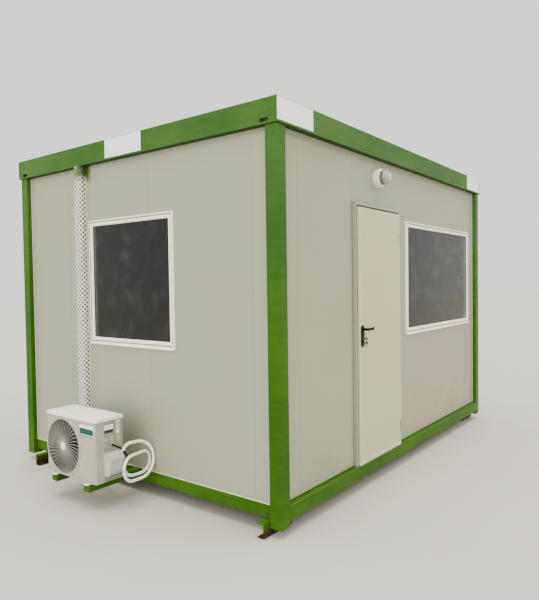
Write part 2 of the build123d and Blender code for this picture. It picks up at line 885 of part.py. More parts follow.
# Trunking up the wall, from behind the unit to the roof beam
trunk_x = (left + panel_recess - trunk_depth, left + panel_recess)
trunk_y = (front + trunk_from_front, front + trunk_from_front + trunk_width)
with BuildPart() as pipe_trunking:
    with BuildSketch(Plane.XY.offset(trunk_bottom)):
        with Locations((sum(trunk_x) / 2, sum(trunk_y) / 2)):
            with BuildSketch(mode=Mode.PRIVATE) as trunk_outside:
                Rectangle(trunk_depth, trunk_width)
                fillet(trunk_outside.vertices().group_by(Axis.X)[0], trunk_round)
            with BuildSketch(mode=Mode.PRIVATE) as trunk_inside:
                Rectangle(trunk_depth - 2 * trunk_wall, trunk_width - 2 * trunk_wall)
                fillet(trunk_inside.vertices().group_by(Axis.X)[0], trunk_round - trunk_wall)
            add(trunk_outside.sketch)
            add(trunk_inside.sketch, mode=Mode.SUBTRACT)
    extrude(amount=roof_beam_bottom - trunk_bottom)
save(pipe_trunking, "pipe_trunking")


# Wrapped pipes from the valve cover, twice round a loop, behind the unit and up the trunking
def tube(points, bend, radius):
    """A tube along straight runs joined by arcs, from the cabin's near left corner."""
    with BuildPart() as piece:
        with BuildLine() as path:
            FilletPolyline(*[(left + x, front + y, z) for x, y, z in points], radius=bend)
        with BuildSketch(Plane(origin=path.line @ 0, z_dir=path.line % 0)):
            Circle(radius)
        sweep()
    return piece


cover_back = panel_recess - unit_gap - cover_from_back
cover_top = unit_bottom + cover_up + cover_height
cover_near = unit_from_front - cover_depth
pipe_start = unit_from_front - pipe_radius - 4
behind_unit = panel_recess - unit_gap
wall_side = panel_recess - pipe_radius - 8
loop_near = cover_near - pipe_radius - 17
loop_left = cover_back - 23
run_middle = unit_from_front + unit_width * 2 / 3
riser_x = panel_recess - trunk_depth / 2
riser_y = trunk_from_front + trunk_width / 2
riser_end = trunk_bottom + run_bend
wrapped_pipes = tube(
    [
        (cover_back, pipe_start, cover_top - 18),
        (cover_back + 17, pipe_start, cover_top - 18),
        (cover_back + 70, pipe_start - 16, pipe_loop_top),
        (wall_side, loop_near + 25, pipe_loop_top),
        (wall_side, loop_near + 5, pipe_loop_low),
        (loop_left, loop_near, pipe_loop_low),
        (loop_left, loop_near + 2, inner_loop_top),
        (wall_side, loop_near + 50, inner_loop_top),
        (wall_side, loop_near + 62, inner_loop_low),
        (behind_unit + pipe_radius, loop_near + 72, inner_loop_low),
        (behind_unit + 3 * pipe_radius, unit_from_front + 35, run_height),
        (behind_unit + 8 * pipe_radius, run_middle, run_height),
        (riser_x + 8, riser_y - 10, run_height),
        (riser_x + 8, riser_y - 10, riser_end),
    ],
    [
        25,
        run_bend,
        pipe_loop_bend,
        pipe_loop_bend,
        inner_loop_bend,
        inner_loop_bend,
        inner_loop_bend,
        inner_loop_bend,
        35,
        run_bend,
        pipe_loop_bend,
        run_bend,
    ],
    pipe_radius,
)
save(wrapped_pipes, "wrapped_pipes")

unit_cable = tube(
    [
        (cover_back - 44, unit_from_front, cable_height),
        (cover_back - 44, unit_from_front - 14, cable_height),
        (cover_back + 4, cover_near + 30, cable_height - 30),
        (cover_back + 26, cover_near + 24, cable_height - 62),
        (cover_back + 72, cover_near + 36, cable_height - 130),
        (behind_unit + 3 * pipe_radius, unit_from_front + 35, run_height + cable_over_pipe),
        (behind_unit + 8 * pipe_radius, run_middle, run_height + cable_over_pipe),
        (riser_x - 16, riser_y, run_height + cable_over_pipe),
        (riser_x - 16, riser_y, riser_end),
    ],
    [10, 20, 30, 40, run_bend, pipe_loop_bend, run_bend],
    cable_radius,
)
save(unit_cable, "unit_cable")
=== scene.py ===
import math

import bmesh
import bpy
from mathutils import Matrix, Vector


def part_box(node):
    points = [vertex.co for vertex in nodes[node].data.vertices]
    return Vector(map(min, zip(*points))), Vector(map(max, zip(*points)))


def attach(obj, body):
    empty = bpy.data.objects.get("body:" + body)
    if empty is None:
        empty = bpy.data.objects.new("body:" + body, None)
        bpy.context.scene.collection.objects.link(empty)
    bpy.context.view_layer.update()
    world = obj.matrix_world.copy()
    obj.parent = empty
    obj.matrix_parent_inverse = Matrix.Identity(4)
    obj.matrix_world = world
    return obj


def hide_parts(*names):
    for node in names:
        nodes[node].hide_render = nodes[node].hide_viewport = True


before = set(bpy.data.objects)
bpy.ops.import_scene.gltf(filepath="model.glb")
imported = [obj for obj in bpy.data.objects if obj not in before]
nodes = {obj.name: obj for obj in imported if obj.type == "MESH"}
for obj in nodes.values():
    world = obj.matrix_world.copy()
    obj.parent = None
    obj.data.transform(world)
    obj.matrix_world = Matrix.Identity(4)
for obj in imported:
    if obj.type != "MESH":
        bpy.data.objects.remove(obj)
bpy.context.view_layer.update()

# Faces and levels that pieces share, in metres. Distances start at the near left post.
POST_WIDTH = 0.093
FRONT_WRAP = 0.075
PANEL_LIP = 0.011
corner, far_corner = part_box("corner_posts")
near_x, far_x = corner.x + POST_WIDTH, far_corner.x - POST_WIDTH
near_y, far_y = corner.y + POST_WIDTH, far_corner.y - POST_WIDTH
wall_x, wall_x_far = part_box("left_wall")[0].x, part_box("right_wall")[1].x
wall_y, wall_y_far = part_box("front_wall")[0].y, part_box("back_wall")[1].y
beam_low, beam_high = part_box("roof_beams_long")
under_beams = beam_low.z
long_rail_bottom, long_rail_top = (point.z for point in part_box("base_rails_long"))
end_rail_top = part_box("base_rails_end")[1].z
leaf_low, leaf_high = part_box("door_leaf")
door_low, door_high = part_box("door_frame")
plate_low, plate_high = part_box("door_backplates")
handle_x = (plate_low.x + plate_high.x) / 2
lens_low, lens_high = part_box("lamp_lens")
trunk_low, trunk_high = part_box("pipe_trunking")
unit_low, unit_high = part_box("unit_casing")
lid_low, lid_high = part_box("unit_lid")
seam_x = unit_low.x + FRONT_WRAP


# Camera at the photograph's viewing angle
IMAGE_LONG_SIDE = 600
SENSOR = 36.0
FOCAL_PIXELS = 566.93
AZIMUTH, TILT, ROLL = -0.918, 0.0315, -0.0139
CAMERA_PLACE = Vector((corner.x - 2.7856, corner.y - 2.0581, 1.6061))

forward = Vector((
    -math.sin(AZIMUTH) * math.cos(TILT),
    math.cos(AZIMUTH) * math.cos(TILT),
    -math.sin(TILT),
))
level_right = Vector((math.cos(AZIMUTH), math.sin(AZIMUTH), 0))
level_up = level_right.cross(forward)
camera_right = level_right * math.cos(ROLL) + level_up * math.sin(ROLL)
camera_up = level_up * math.cos(ROLL) - level_right * math.sin(ROLL)
camera = bpy.data.objects.new("camera", bpy.data.cameras.new("camera"))
bpy.context.scene.collection.objects.link(camera)
camera.data.sensor_width = SENSOR
camera.data.lens = FOCAL_PIXELS / IMAGE_LONG_SIDE * SENSOR
camera.data.clip_end = 200
camera_turn = Matrix((camera_right, camera_up, -forward)).transposed().to_4x4()
camera.matrix_world = Matrix.Translation(CAMERA_PLACE) @ camera_turn
bpy.context.scene.camera = camera


# Shaders
def tone(red, green, blue):
    """A colour from its 0 to 255 screen values, as a shader holds it."""
    values = []
    for screen in (red, green, blue):
        part = screen / 255
        values.append(part / 12.92 if part <= 0.04045 else ((part + 0.055) / 1.055) ** 2.4)
    return (*values, 1)


class Wire:
    """A shader socket that is added and multiplied like a number."""

    def __init__(self, finish, socket):
        self.finish = finish
        self.socket = socket

    def math(self, operation, first, second):
        return self.finish.add("ShaderNodeMath", {"operation": operation}, {0: first, 1: second})

    def __add__(self, other):
        return self.math("ADD", self, other)

    __radd__ = __add__

    def __sub__(self, other):
        return self.math("SUBTRACT", self, other)

    def __rsub__(self, other):
        return self.math("SUBTRACT", other, self)

    def __mul__(self, other):
        return self.math("MULTIPLY", self, other)

    __rmul__ = __mul__

    def __abs__(self):
        return self.math("ABSOLUTE", self, 0)


class Finish:
    """One surface: a principled shader and the nodes that feed it."""

    def __init__(self, name, **surface):
        self.material = bpy.data.materials.new(name)
        self.material.use_nodes = True
        self.tree = self.material.node_tree
        self.shader = self.tree.nodes["Principled BSDF"]
        self.place = self.add("ShaderNodeTexCoord", out="Object")
        for socket, value in surface.items():
            self.feed(self.shader.inputs[socket.replace("_", " ")], value)

    def feed(self, socket, value):
        """Link a wire to a socket, or set its value. Colours are 0 to 255 screen values."""
        if isinstance(value, Wire):
            self.tree.links.new(value.socket, socket)
        elif socket.type == "RGBA":
            socket.default_value = tone(*value)
        else:
            socket.default_value = value

    def add(self, kind, settings=None, inputs=None, out=0):
        """A node of any kind: its settings, then the values or links of its sockets."""
        node = self.tree.nodes.new(kind)
        for name, value in (settings or {}).items():
            if name == "stops":
                ramp = node.color_ramp.elements
                for element, (position, colour) in zip(ramp, value):
                    element.position, element.color = position, tone(*colour)
                for position, colour in value[len(ramp):]:
                    ramp.new(position).color = tone(*colour)
            else:
                setattr(node, name, value)
        for name, value in (inputs or {}).items():
            self.feed(node.inputs[name], value)
        return Wire(self, node.outputs[out])

    def stretched(self, scale):
        """Object coordinates scaled along each axis, so that a pattern runs in streaks."""
        return self.add("ShaderNodeMapping", {}, {"Vector": self.place, "Scale": scale})

    def noise(self, scale, detail, rough=0.55, place=None):
        inputs = {"Vector": place or self.place, "Scale": scale, "Detail": detail, "Roughness": rough}
        return self.add("ShaderNodeTexNoise", {}, inputs)

    def axis(self, letter, place=None):
        return self.add("ShaderNodeSeparateXYZ", {}, {0: place or self.place}, letter)

    def rise(self, value, low, high, to_low=0.0, to_high=1.0):
        """A value's smooth rise from one number to another between two limits."""
        inputs = {"Value": value, "From Min": low, "From Max": high, "To Min": to_low, "To Max": to_high}
        return self.add("ShaderNodeMapRange", {"interpolation_type": "SMOOTHSTEP"}, inputs)

    def paint(self, amount, under, over):
        return self.add("ShaderNodeMix", {"data_type": "RGBA"}, {0: amount, 6: under, 7: over}, 2)

    def facing_up(self):
        normal = self.add("ShaderNodeNewGeometry", out="Normal")
        return self.axis("Z", normal)

    def colour(self, value):
        self.feed(self.shader.inputs["Base Color"], value)

    def rough(self, value):
        self.feed(self.shader.inputs["Roughness"], value)

    def alpha(self, value):
        self.feed(self.shader.inputs["Alpha"], value)

    def bump(self, height, distance, strength):
        inputs = {"Height": height, "Distance": distance, "Strength": strength}
        self.feed(self.shader.inputs["Normal"], self.add("ShaderNodeBump", {}, inputs))


def green_paint():
    """Brush and spray green: patchy, dusty on ledges, painted shade on undersides and dirty at the bottom.
    """
    made = Finish("green_paint", Specular_IOR_Level=0.12)
    patches = made.noise(1.3, 4)
    strokes = made.noise(1.0, 3, place=made.stretched((3, 3, 26)))
    shade = made.rise(patches * 0.7 + strokes * 0.3, 0.35, 0.65)
    high = made.rise(made.axis("Z"), 1.0, 2.55)
    dark = made.paint(high, (38, 78, 0), (47, 85, 26))
    light = made.paint(high, (54, 95, 0), (63, 99, 38))
    base = made.paint(shade, dark, light)
    # Painted shade: faces that point down are darkened towards a deep green.
    underside_shade = made.rise(made.facing_up(), -0.5, -0.9)
    base = made.paint(underside_shade * 0.75, base, (22, 46, 2))
    fine = made.noise(220, 2)
    dust = made.rise(made.facing_up(), 0.5, 1.0) * made.rise(made.noise(9, 5), 0.3, 0.8)
    low = made.rise(made.axis("Z"), 0.24, 0.02) * made.rise(made.noise(14, 6), 0.42, 0.72)
    dusty = made.paint(dust * 0.3, base, (95, 112, 58))
    made.colour(made.paint(low * 0.3, dusty, (88, 84, 56)))
    made.rough(0.42 + 0.22 * made.noise(5, 4) + 0.2 * dust)
    made.bump(made.noise(60, 3) * 0.7 + fine * 0.3, 0.0006, 0.5)
    return made.material


def foot_steel():
    """Rusty channel with green spray on its upper parts."""
    made = Finish("foot_steel", Specular_IOR_Level=0.05)
    rust = made.rise(made.noise(38, 6), 0.3, 0.7)
    metal = made.paint(rust, (26, 26, 28), (84, 54, 38))
    height = made.axis("Z") + 0.05 * made.noise(16, 5)
    spray = made.rise(height, 0.045, 0.105)
    made.colour(made.paint(spray, metal, (56, 98, 8)))
    made.rough(0.75 + 0.25 * rust)
    made.bump(made.noise(120, 5), 0.0012, 0.7)
    return made.material


OVERSPRAY = (103, 133, 25)
# Painted shade: the darker green that spray takes on the trunking's near side.
SPRAY_IN_SHADE = (34, 76, 6)


def sprayed(made, base):
    """Green overspray on the wall round the top of the trunking, with painted shade making it darker on its
    near side.
    """
    from_trunk = abs(made.axis("Y") - (trunk_low.y + trunk_high.y) / 2)
    cloud = made.rise(from_trunk + 0.06 * made.noise(22, 5), 0.165, 0.085)
    height = made.axis("Z") + 0.06 * made.noise(20, 5)
    cloud = cloud * made.rise(height, trunk_high.z - 0.13, trunk_high.z - 0.04)
    base = made.paint(cloud * 0.9, base, OVERSPRAY)
    # Painted shade: the spray turns darker green towards the trunking's near side.
    across = made.axis("Y") + 0.03 * made.noise(30, 4)
    shaded = made.rise(across, trunk_low.y + 0.05, trunk_low.y - 0.01)
    return made.paint(cloud * shaded, base, SPRAY_IN_SHADE)


def warmed(made, base):
    """The front wall is warmer from the door onwards, mostly in its lower half."""
    start = corner.x + 1.75
    along = made.rise(made.axis("X"), start, start + 0.4)
    down = made.rise(made.axis("Z"), 2.2, 1.2, 0.3, 0.95)
    return made.paint(along * down, base, (155, 146, 128))


def coated(made, base, grime):
    """A coated sheet's surface over its colour: splash-back near the ground, gloss, faint waves."""
    splash = made.rise(made.axis("Z"), 0.75, 0.18) * made.rise(made.noise(3.2, 6), 0.38, 0.75)
    made.colour(made.paint(splash * grime, base, (138, 133, 114)))
    made.rough(0.34 + 0.16 * made.noise(4, 4) + 0.2 * splash)
    waves = made.noise(1.0, 2, place=made.stretched((5, 5, 0.8)))
    made.bump(waves * 0.9 + made.noise(240, 2) * 0.06, 0.003, 0.35)
    return made.material


def panel_skin(name, light, dark, grime=0.35, tint=None):
    """Coated panel: soft clouding and faint rolled bands, with a tint in places if it has one."""
    made = Finish(name, Specular_IOR_Level=0.3)
    clouds = made.rise(made.noise(0.9, 4), 0.3, 0.7)
    bands = made.noise(1.0, 2, place=made.stretched((9, 9, 0.25)))
    base = made.paint(clouds * 0.75 + bands * 0.25, dark, light)
    if tint:
        base = tint(made, base)
    return coated(made, base, grime)


def door_skin():
    """Cream door: yellower towards its bottom, with a painted highlight along the bottom edge and the lever
    side.
    """
    made = Finish("door_cream", Specular_IOR_Level=0.3)
    clouds = made.rise(made.noise(0.9, 4), 0.3, 0.7)
    base = made.paint(clouds, (190, 177, 151), (186, 182, 150))
    down = made.rise(made.axis("Z") + 0.2 * made.noise(2, 3), 1.2, 0.35)
    base = made.paint(down * 0.6, base, (184, 186, 148))
    # Painted highlight: paler bands along the leaf's bottom edge and its lever-side edge.
    bottom_edge_highlight = made.rise(made.axis("Z"), leaf_low.z + 0.034, leaf_low.z + 0.026)
    lever_edge_highlight = made.rise(made.axis("X"), leaf_low.x + 0.024, leaf_low.x + 0.012)
    base = made.paint(bottom_edge_highlight * 0.8, base, (206, 202, 176))
    base = made.paint(lever_edge_highlight * 0.6, base, (202, 196, 168))
    return coated(made, base, 0.2)


def moulded(name, light, dark, rough=0.35, grain=320, depth=0.0003, dirt=0.12, shine=0.5):
    """Moulded or coated parts: near-even colour, fine grain, dirt in patches."""
    made = Finish(name, Specular_IOR_Level=shine)
    mottle = made.rise(made.noise(6, 4), 0.3, 0.7)
    base = made.paint(mottle, dark, light)
    grime = made.rise(made.noise(17, 6), 0.52, 0.8)
    made.colour(made.paint(grime * dirt, base, (150, 142, 122)))
    made.rough(rough + 0.12 * made.noise(25, 4) + 0.1 * grime)
    made.bump(made.noise(grain, 2), depth, 0.5)
    return made.material


def unit_shell():
    """White casing; its side panel has darker tones as painted shade, so the strip where its front wraps
    round the side looks brighter.
    """
    made = Finish("unit_shell", Specular_IOR_Level=0.5)
    on_shaded_side = made.rise(made.axis("X"), seam_x - 0.0004, seam_x + 0.0004)
    mottle = made.rise(made.noise(6, 4), 0.3, 0.7)
    front = made.paint(mottle, (167, 162, 147), (174, 169, 155))
    # Painted shade: the side panel's tones are darker than the front's.
    side = made.paint(mottle, (139, 139, 123), (152, 151, 135))
    grime = made.rise(made.noise(17, 6), 0.5, 0.8)
    made.colour(made.paint(grime * 0.16, made.paint(on_shaded_side, front, side), (140, 132, 112)))
    made.rough(0.3 + 0.12 * made.noise(25, 4) + 0.1 * grime)
    made.bump(made.noise(320, 2), 0.0003, 0.5)
    return made.material


def window_glass():
    """Dark reflecting pane with dust in patches."""
    made = Finish("window_glass", IOR=1.42)
    dust = made.rise(made.noise(7, 6), 0.45, 0.85)
    made.colour(made.paint(dust * 0.12, (20, 23, 22), (116, 118, 110)))
    made.rough(0.02 + 0.10 * dust)
    made.alpha(0.62 + 0.2 * dust)
    made.bump(made.noise(1.2, 2), 0.002, 0.12)
    return made.material


def timber():
    """Plywood floor board: long grain in strips."""
    made = Finish("floor_timber")
    grain = made.noise(3, 8, 0.7, place=made.stretched((1.2, 22, 22)))
    made.colour(made.paint(made.rise(grain, 0.3, 0.7), (120, 90, 58), (176, 142, 100)))
    made.rough(0.5 + 0.25 * grain)
    made.bump(grain, 0.0008, 0.6)
    return made.material


def pipe_cover():
    """White pipe wrap: fine creases across, with painted shade greying their hollows."""
    made = Finish("pipe_wrap", Specular_IOR_Level=0.35)
    crease_depth_and_shade = made.noise(70, 5, 0.6)
    # Painted shade: the low parts of the crease pattern are greyer.
    made.colour(made.paint(made.rise(crease_depth_and_shade, 0.3, 0.7), (232, 230, 218), (252, 251, 242)))
    made.rough(0.5 + 0.25 * crease_depth_and_shade)
    made.bump(crease_depth_and_shade, 0.0016, 0.7)
    return made.material


def trunk_wrap():
    """White lattice wrap with green spray at its very top, with painted shade making it darker on its near
    side.
    """
    made = Finish("trunk_wrap", Specular_IOR_Level=0.4)
    mottle = made.rise(made.noise(40, 4), 0.3, 0.7)
    base = made.paint(mottle, (222, 215, 202), (244, 239, 227))
    height = made.axis("Z") + 0.05 * made.noise(22, 5)
    spray = made.rise(height, under_beams - 0.11, under_beams - 0.05)
    spray = spray * made.rise(made.noise(34, 5), 0.22, 0.5)
    base = made.paint(spray * 0.95, base, OVERSPRAY)
    # Painted shade: the spray at the top turns darker green on the near side.
    across = made.axis("Y") + 0.03 * made.noise(30, 4)
    shaded = made.rise(across, trunk_low.y + 0.075, trunk_low.y + 0.035)
    top = made.rise(height, under_beams - 0.07, under_beams - 0.03)
    made.colour(made.paint(top * shaded, base, SPRAY_IN_SHADE))
    made.rough(0.42 + 0.2 * made.noise(60, 3))
    made.bump(made.noise(180, 3), 0.0005, 0.5)
    return made.material


def metal(name, light, dark, rough=0.32):
    """Bare or plated metal with fine scratches."""
    made = Finish(name, Metallic=1.0)
    scratch = made.noise(30, 6, 0.7, place=made.stretched((1, 1, 14)))
    made.colour(made.paint(scratch, dark, light))
    made.rough(rough + 0.2 * scratch)
    made.bump(scratch, 0.0002, 0.5)
    return made.material


def clear_lens():
    """Lamp glass with pale and dark rings as painted highlights and shade on the ribbed dome, milky from
    dust.
    """
    made = Finish("lamp_glass", IOR=1.5)
    dust = made.noise(45, 5)
    depth = made.rise(made.axis("Y"), lens_low.y, lens_high.y)
    # Painted highlights and shade: pale and dark rings by depth through the dome.
    lens_light_rings = made.add("ShaderNodeValToRGB", {"stops": (
        (0.0, (214, 212, 204)), (0.10, (150, 148, 141)), (0.22, (206, 204, 196)),
        (0.36, (126, 124, 117)), (0.50, (188, 186, 178)), (0.70, (104, 102, 96)),
    )}, {0: depth})
    made.colour(made.paint(dust * 0.3, lens_light_rings, (170, 166, 154)))
    made.rough(0.12 + 0.16 * dust)
    made.alpha(0.7 + 0.2 * dust)
    made.bump(made.noise(70, 3), 0.0008, 0.5)
    return made.material


green = green_paint()
rusty = foot_steel()
board = timber()
shell = unit_shell()
glass = window_glass()
lens = clear_lens()
pipe_wrap = pipe_cover()
trunk_white = trunk_wrap()
wall_light, wall_dark = (148, 153, 131), (150, 149, 127)
panel_white = panel_skin("panel_white", wall_light, wall_dark)
panel_warm = panel_skin("panel_warm", wall_light, wall_dark, tint=warmed)
# Painted light: the left wall's tones are a little paler than the front wall's, for its better-lit side; it
# also carries the overspray.
panel_sprayed_and_lit = panel_skin("panel_sprayed_and_lit", (153, 157, 137), (153, 154, 133), 0.2, sprayed)
panel_inside = panel_skin("panel_inside", (222, 222, 214), (214, 214, 204), 0.1)
sheet_metal = panel_skin("roof_sheet_metal", (176, 180, 180), (160, 164, 165), 0.0)
door_cream = door_skin()
upvc = moulded("window_upvc", (255, 253, 230), (251, 248, 224), rough=0.25, dirt=0.06)
lamp_white = moulded("lamp_white", (232, 230, 218), (218, 216, 204), rough=0.3, dirt=0.15)
# Painted highlight: pale green for the long rails' upper front edges.
edge_highlight_green = moulded("edge_highlight_green", (78, 118, 26), (60, 100, 12), rough=0.6, dirt=0.1, shine=0.12)
gasket = moulded("black_gasket", (22, 22, 23), (14, 14, 15), rough=0.6, dirt=0.2)
black = moulded("black_handle", (10, 10, 11), (5, 5, 6), rough=0.45, dirt=0.03, shine=0.1)
enamel = moulded("unit_enamel", (248, 247, 231), (241, 240, 224), rough=0.3)
cover_white = moulded("cover_white", (190, 188, 177), (180, 179, 167), dirt=0.2)
pressing = moulded("pressing_white", (182, 180, 166), (170, 168, 154))
guard = moulded("guard_plastic", (176, 172, 163), (162, 158, 150), rough=0.42, dirt=0.2)
dark_plastic = moulded("dark_plastic", (52, 51, 53), (40, 39, 41), rough=0.5)
# Painted shade: the fan is darker than its plastic, so the gaps in the guard look shaded.
fan_plastic_in_shade = moulded("fan_plastic_in_shade", (64, 62, 58), (50, 48, 46), rough=0.5)
sealant = moulded("sealant", (196, 200, 180), (182, 186, 166), rough=0.45, depth=0.0012, grain=90)
plate_white = moulded("bare_plate", (248, 248, 246), (242, 242, 240), rough=0.3, dirt=0.05)
plate_teal = moulded("teal_plate", (2, 76, 70), (1, 64, 60), rough=0.45, shine=0.25)
# Dark grey for the printed line under the badge, and painted shade in the grip recess and the vent slots.
dark_print_and_shade = moulded("dark_line", (58, 54, 54), (44, 41, 42), rough=0.5)
# Painted shade: grey for the window frames' groove, where shade falls between flange and sash.
groove_shade_grey = moulded("groove_shade_grey", (182, 180, 168), (166, 164, 152), rough=0.6)
hinge_grey = moulded("hinge_grey", (178, 172, 152), (160, 154, 136), rough=0.5)
# Painted shade: a little darker than the walls, for the shade in the panel joints.
joint_shade_grey = moulded("joint_shade_grey", (140, 143, 124), (138, 138, 119), rough=0.5)
# Painted shade: dark grey lines for shade in gaps, beside the door frame and under the lid's rim.
painted_shade_grey = moulded("painted_shade_grey", (120, 116, 110), (100, 97, 92), rough=0.6)
# Painted shade: the trunking under the weave is dark grey, so the gaps in the weave look shaded.
trunk_hollow_shade = moulded("trunk_hollow_shade", (104, 98, 92), (72, 68, 64), rough=0.7)
steel = metal("plain_steel", (190, 188, 184), (140, 138, 135))
brass = metal("worn_brass", (150, 138, 104), (112, 102, 78))
# Painted shade: the coil's fins are darkened, so the inside of the unit looks shaded through the guard.
coil_fins_in_shade = metal("coil_fins_in_shade", (104, 106, 108), (66, 68, 70), rough=0.45)

for finish, names in (
    (green, "corner_posts base_rails_long base_rails_end roof_beams_long roof_beams_end"),
    (green, "floor_joists unit_brackets"),
    (rusty, "corner_feet"),
    (panel_warm, "front_wall door_frame"),
    (panel_white, "right_wall back_wall"),
    (panel_sprayed_and_lit, "left_wall"),
    (panel_inside, "ceiling"),
    (board, "floor"),
    (sheet_metal, "roof_purlins roof_sheet"),
    (door_cream, "door_leaf"),
    (hinge_grey, "hinges_frame hinges_leaf"),
    (upvc, "front_window_frame left_window_frame"),
    (glass, "front_window_glass left_window_glass"),
    (black, "door_backplates lever_outside lever_inside door_key unit_cable"),
    (steel, "handle_spindle fan_motor"),
    (brass, "lock_cylinder"),
    (lamp_white, "lamp_base"),
    (lens, "lamp_lens"),
    (shell, "unit_casing"),
    (enamel, "unit_lid unit_feet"),
    (cover_white, "valve_cover"),
    (coil_fins_in_shade, "unit_coil"),
    (guard, "fan_guard"),
    (fan_plastic_in_shade, "fan"),
    (trunk_hollow_shade, "pipe_trunking"),
    (pipe_wrap, "wrapped_pipes"),
):
    for name in names.split():
        mesh = nodes[name].data
        mesh.materials.clear()
        mesh.materials.append(finish)


# Shapes
class Piece:
    """A detail piece: shapes are made one by one and joined in one mesh."""

    def __init__(self):
        self.bm = bmesh.new()
        self.carried = bpy.data.meshes.new("carried")

    def join(self, shape, place=None, finish=0):
        """Add a shape, moved to its place. With finish None its faces keep their own finishes."""
        if place:
            bmesh.ops.transform(shape, matrix=place, verts=shape.verts)
        if finish is not None:
            for face in shape.faces:
                face.material_index = finish
        shape.to_mesh(self.carried)
        shape.free()
        self.bm.from_mesh(self.carried)

    def slab(self, low, high, edge=0.0, segments=1):
        """A block between two corners, with rounded edges."""
        low, high = Vector(low), Vector(high)
        shape = bmesh.new()
        bmesh.ops.create_cube(shape, size=1, matrix=Matrix.Diagonal((*(high - low), 1)))
        if edge:
            bmesh.ops.bevel(
                shape, geom=shape.edges[:], offset=edge, affect="EDGES",
                segments=segments, profile=0.5, material=-1,
            )
        self.join(shape, Matrix.Translation((low + high) / 2))

    def rod(self, start, end, radius, sides, edge=0.0, finish=0):
        """A round or many-sided bar from one point to another."""
        start, end = Vector(start), Vector(end)
        run = end - start
        shape = bmesh.new()
        bmesh.ops.create_cone(
            shape, cap_ends=True, segments=sides, radius1=radius, radius2=radius, depth=run.length,
        )
        if edge:
            rims = [line for line in shape.edges if any(len(face.verts) > 4 for face in line.link_faces)]
            bmesh.ops.bevel(
                shape, geom=rims, offset=edge, affect="EDGES", segments=2, profile=0.5, material=-1,
            )
        turn = run.to_track_quat("Z", "Y").to_matrix().to_4x4()
        self.join(shape, Matrix.Translation((start + end) / 2) @ turn, finish)

    def turned(self, profile, centre, axis, steps):
        """A closed profile of radius and height, spun round an axis."""
        shape = bmesh.new()
        points = [shape.verts.new((radius, 0, height)) for radius, height in profile]
        lines = [shape.edges.new(pair) for pair in zip(points, points[1:] + points[:1])]
        bmesh.ops.spin(
            shape, geom=points + lines, cent=(0, 0, 0), axis=(0, 0, 1),
            angle=math.tau, steps=steps, use_merge=True,
        )
        bmesh.ops.remove_doubles(shape, verts=shape.verts, dist=1e-6)
        turn = Vector(axis).to_track_quat("Z", "Y").to_matrix().to_4x4()
        self.join(shape, Matrix.Translation(centre) @ turn)

    def ring(self, centre, axis, radius, wire, steps):
        """A round wire bent to a ring."""
        sides = 8
        turns = [math.tau * n / sides for n in range(sides)]
        profile = [(radius + wire * math.cos(turn), wire * math.sin(turn)) for turn in turns]
        self.turned(profile, centre, axis, steps)

    def moved(self, place):
        bmesh.ops.transform(self.bm, matrix=place, verts=self.bm.verts)

    def done(self, name, finishes, body="cabin", instead=()):
        """Make the piece an object that rides on a body, and stands for a node if it replaces one."""
        mesh = bpy.data.meshes.new(name)
        bmesh.ops.recalc_face_normals(self.bm, faces=self.bm.faces)
        self.bm.to_mesh(mesh)
        self.bm.free()
        bpy.data.meshes.remove(self.carried)
        for finish in finishes:
            mesh.materials.append(finish)
        mesh.shade_smooth()
        mesh.set_sharp_from_angle(angle=math.radians(35))
        piece = bpy.data.objects.new(name, mesh)
        bpy.context.scene.collection.objects.link(piece)
        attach(piece, body)
        if instead:
            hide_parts(*instead)


# Sealant in the corners between panels, posts, rails and beams
SEALANT_RADIUS = 0.0045


def sealant_beads():
    piece = Piece()
    for y in (wall_y, wall_y_far):
        for x in (near_x, far_x):
            piece.rod((x, y, long_rail_top), (x, y, under_beams), SEALANT_RADIUS, 10)
    for x in (wall_x, wall_x_far):
        for y in (near_y, far_y):
            piece.rod((x, y, end_rail_top), (x, y, under_beams), SEALANT_RADIUS, 10)
        piece.rod((x, near_y, end_rail_top), (x, far_y, end_rail_top), SEALANT_RADIUS, 10)
    piece.done("sealant_beads", [sealant])


# Joints between wall panels, drawn as darker strips of painted shade, at their distances from the near left
# corner
END_JOINTS = (0.241, 1.241, 2.241)
FRONT_JOINTS = (0.273, 3.725)
BACK_JOINTS = (1.017, 1.941, 2.865)
JOINT_WIDTH = 0.0044
JOINT_PROUD = 0.0003
JOINT_SUNK = 0.0005


def panel_joints():
    """No joint strip is drawn behind the left window."""
    piece = Piece()
    half = JOINT_WIDTH / 2
    window_low, window_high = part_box("left_window_frame")
    for joint in END_JOINTS:
        y = corner.y + joint
        near = [(end_rail_top, under_beams)]
        if window_low.y < y < window_high.y:
            near = [(end_rail_top, window_low.z), (window_high.z, under_beams)]
        for bottom, top in near:
            piece.slab((wall_x - JOINT_PROUD, y - half, bottom), (wall_x + JOINT_SUNK, y + half, top))
        piece.slab(
            (wall_x_far - JOINT_SUNK, y - half, end_rail_top),
            (wall_x_far + JOINT_PROUD, y + half, under_beams),
        )
    for low, high, joints in (
        (wall_y - JOINT_PROUD, wall_y + JOINT_SUNK, FRONT_JOINTS),
        (wall_y_far - JOINT_SUNK, wall_y_far + JOINT_PROUD, BACK_JOINTS),
    ):
        for joint in joints:
            x = corner.x + joint
            piece.slab((x - half, low, long_rail_top), (x + half, high, under_beams))
    piece.done("panel_joints", [joint_shade_grey])


